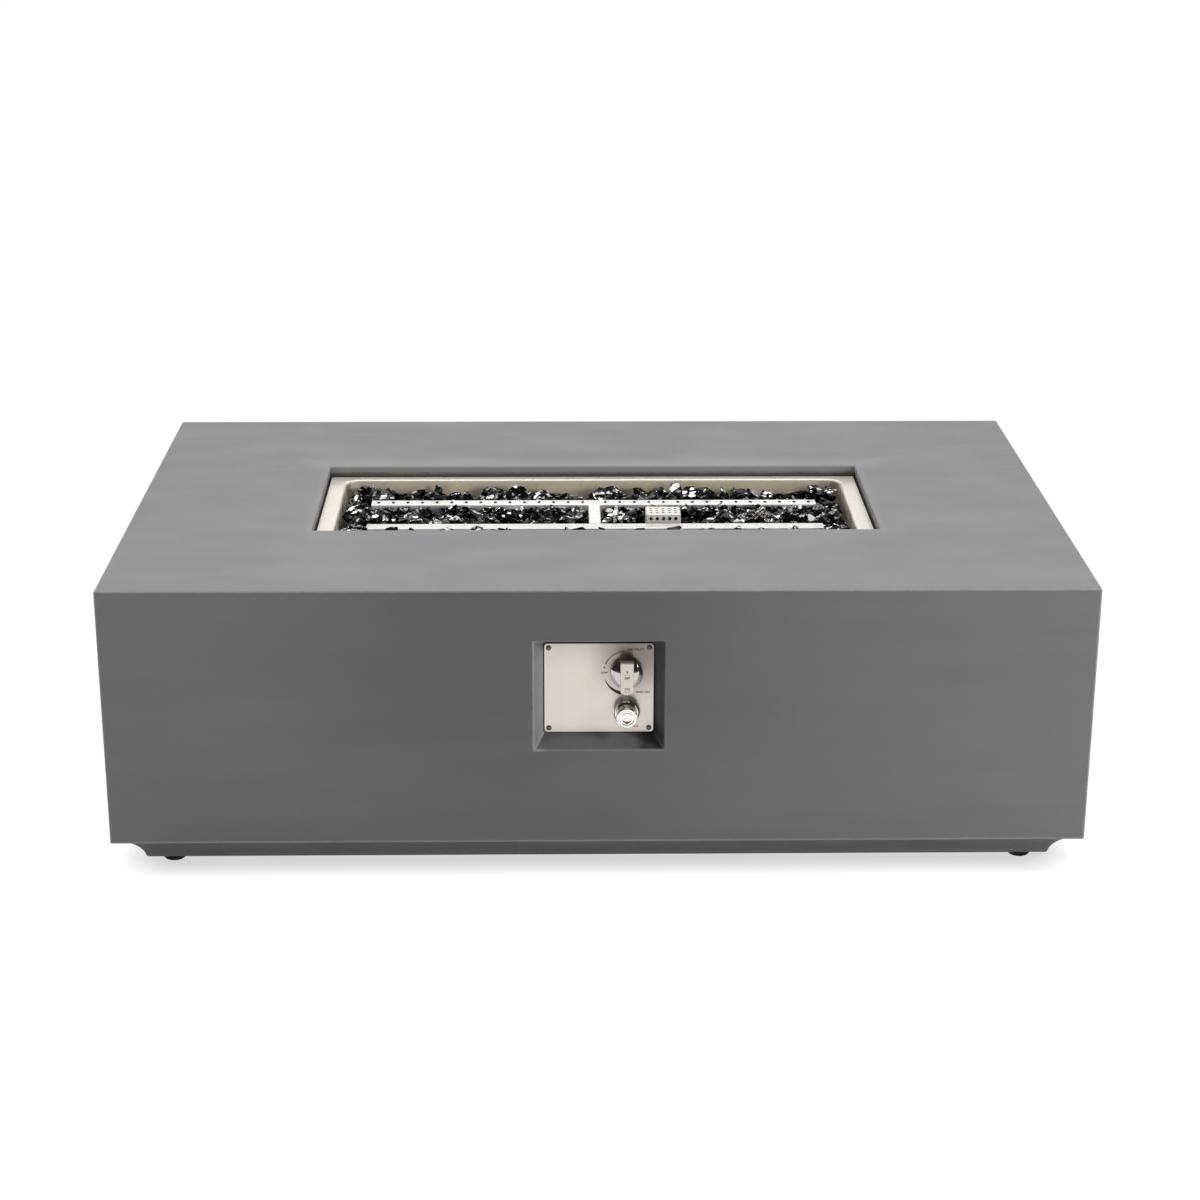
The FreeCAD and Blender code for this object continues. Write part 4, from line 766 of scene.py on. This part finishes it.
def print_the_knob(ink, red):
    """OFF and ON with their small arcs, and the red pointer dot, on the handle of the knob."""
    handle = facing_front(KNOB_X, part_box("control_knob")[0].y / MM - 0.01, KNOB_Z)
    marks = printed(handle, (arc_strip(5.2, 0.45, 0.45, 50, 130), 0, 0.5), (word("OFF", 4.0), 0, 1.2),
                    (word("ON", 4.0), 0, -13.2), (arc_strip(5.2, 0.45, 0.45, 230, 310), 0, -12.2))
    finished_piece("knob_print", marks, ink, "knob")
    finished_piece("knob_dot", printed(handle, (dot(1.25), 0, 9.5)), red, "knob")


def print_the_button(ink, rust):
    """A small arc and a rust-coloured crescent on the face of the igniter button."""
    low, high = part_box("igniter_button")
    middle = (low + high) / 2 / MM
    sunk = 0.59
    face = facing_front(middle.x, low.y / MM + sunk, middle.z)
    arc = printed(face, (arc_strip(6.6, 0.55, 0.55, 35, 145), 0, 0))
    finished_piece("button_print", arc, ink, "igniter_button")
    crescent = printed(face, (arc_strip(5.8, 0.6, 3.8, 210, 270), 0, 0),
                       (arc_strip(5.8, 3.8, 0.6, 270, 330), 0, 0))
    finished_piece("button_crescent", crescent, rust, "igniter_button")


def cut_panel_screws(material):
    """Four pan head screws with a cross recess, in the place of the plain ones."""
    low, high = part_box("panel_screws")
    low, high = low / MM, high / MM
    head_radius, half_slot, slot_depth = 3.3, 0.42, 1.1
    screw = bmesh.new()
    profile = [(0, 0), (1.9, 0), (2.6, -0.18), (3.1, -0.7), (head_radius, -1.3), (head_radius, -2.1),
               (2, -2.1), (2, -9), (0, -9)]
    verts = [screw.verts.new((radius, 0, height)) for radius, height in profile]
    edges = [screw.edges.new(pair) for pair in zip(verts, verts[1:])]
    bmesh.ops.spin(screw, geom=verts + edges, axis=(0, 0, 1), cent=(0, 0, 0), angle=math.tau, steps=32,
                   use_merge=True)
    bmesh.ops.remove_doubles(screw, verts=screw.verts, dist=0.001)
    for side, across in ((1, 0), (-1, 0), (0, 1), (0, -1)):
        bmesh.ops.bisect_plane(screw, geom=screw.verts[:] + screw.edges[:] + screw.faces[:],
                               plane_co=(side * half_slot, across * half_slot, 0), plane_no=(side, across, 0))
    slots = []
    for face in screw.faces:
        x, y, z = face.calc_center_median()
        if z > -0.01 and min(abs(x), abs(y)) < half_slot:
            slots.append(face)
    floor = corners_of(bmesh.ops.extrude_face_region(screw, geom=slots))
    bmesh.ops.delete(screw, geom=slots, context="FACES")
    bmesh.ops.translate(screw, vec=(0, 0, -slot_depth), verts=floor)
    bmesh.ops.scale(screw, vec=(0.8, 0.8, 1), verts=floor)
    bmesh.ops.recalc_face_normals(screw, faces=screw.faces)
    data = mesh_of(screw, "screw")
    screws = bmesh.new()
    turns = iter((20, 65, 5, 40))
    for x in (low.x + head_radius, high.x - head_radius):
        for z in (low.z + head_radius, high.z - head_radius):
            spin = Matrix.Rotation(math.radians(next(turns)), 4, "Z")
            add_copy(screws, data, facing_front(x, low.y, z) @ spin)
    piece = finished_piece("panel_screws_cross", screws, material, "table", 35)
    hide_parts("panel_screws")


def wind_spring(name, node, turns, material):
    """Wire wound in the place of a plain spring."""
    low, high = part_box(node)
    middle = (low + high) / 2 / MM
    length = (high.y - low.y) / MM
    steps, wire = 20, 0.55
    coil_radius = (high.x - low.x) / 2 / MM - wire
    rise = (length - 2 * wire) / (turns * steps)
    spring = bmesh.new()
    ring = bmesh.ops.create_circle(spring, cap_ends=False, segments=8, radius=wire)["verts"]
    stand = Matrix.Translation((coil_radius, 0, -length + wire)) @ Matrix.Rotation(math.pi / 2, 4, "X")
    bmesh.ops.transform(spring, matrix=stand, verts=ring)
    bmesh.ops.spin(spring, geom=ring + spring.edges[:], axis=(0, 0, 1), cent=(0, 0, 0),
                   dvec=(0, 0, rise), angle=math.tau * turns, steps=steps * turns)
    bmesh.ops.holes_fill(spring, edges=[edge for edge in spring.edges if edge.is_boundary], sides=8)
    bmesh.ops.recalc_face_normals(spring, faces=spring.faces)
    bmesh.ops.transform(spring, matrix=facing_front(middle.x, low.y / MM, middle.z), verts=spring.verts)
    piece = finished_piece(name, spring, material, "table", 60)
    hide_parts(node)
    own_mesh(piece)


set_up_camera()
light_the_room()
lay_the_floor()
add_light("overhead", (0.05, 0.0, 3.1), (0, 0, 0.38), 2.6, 2.2, 35)
add_light("key", (2.2, -1.6, 0.95), (0.1, -0.38, 0.25), 0.3, 1.3, 28, glossy=False)
add_light("key_spark", (2.2, -1.6, 1.1), (0.1, -0.38, 0.25), 0.1, 0.3, 2.4)
add_light("left_fill", (-1.8, -1.6, 0.9), (-0.6, -0.38, 0.25), 0.4, 1.4, 8, glossy=False)
add_light("glints", (-0.2, 2.2, 1.9), (0, 0, 0.36), 1.6, 0.12, 4)
finishes = dress_the_nodes()
spread_fire_glass(finishes["fire_glass"])
black_ink = ink_finish("black_ink", (0.012, 0.012, 0.012))
print_the_dial(black_ink)
print_the_knob(black_ink, ink_finish("red_ink", (0.55, 0.012, 0.012)))
print_the_button(ink_finish("grey_ink", (0.13, 0.13, 0.125)), ink_finish("rust_ink", (0.42, 0.16, 0.06)))
cut_panel_screws(finishes["dark_screw"])
wind_spring("valve_spring_coil", "valve_return_spring", 9, finishes["zinc_steel"])
wind_spring("igniter_spring_coil", "igniter_spring", 4, finishes["zinc_steel"])

bpy.context.scene.view_settings.view_transform = "Standard"
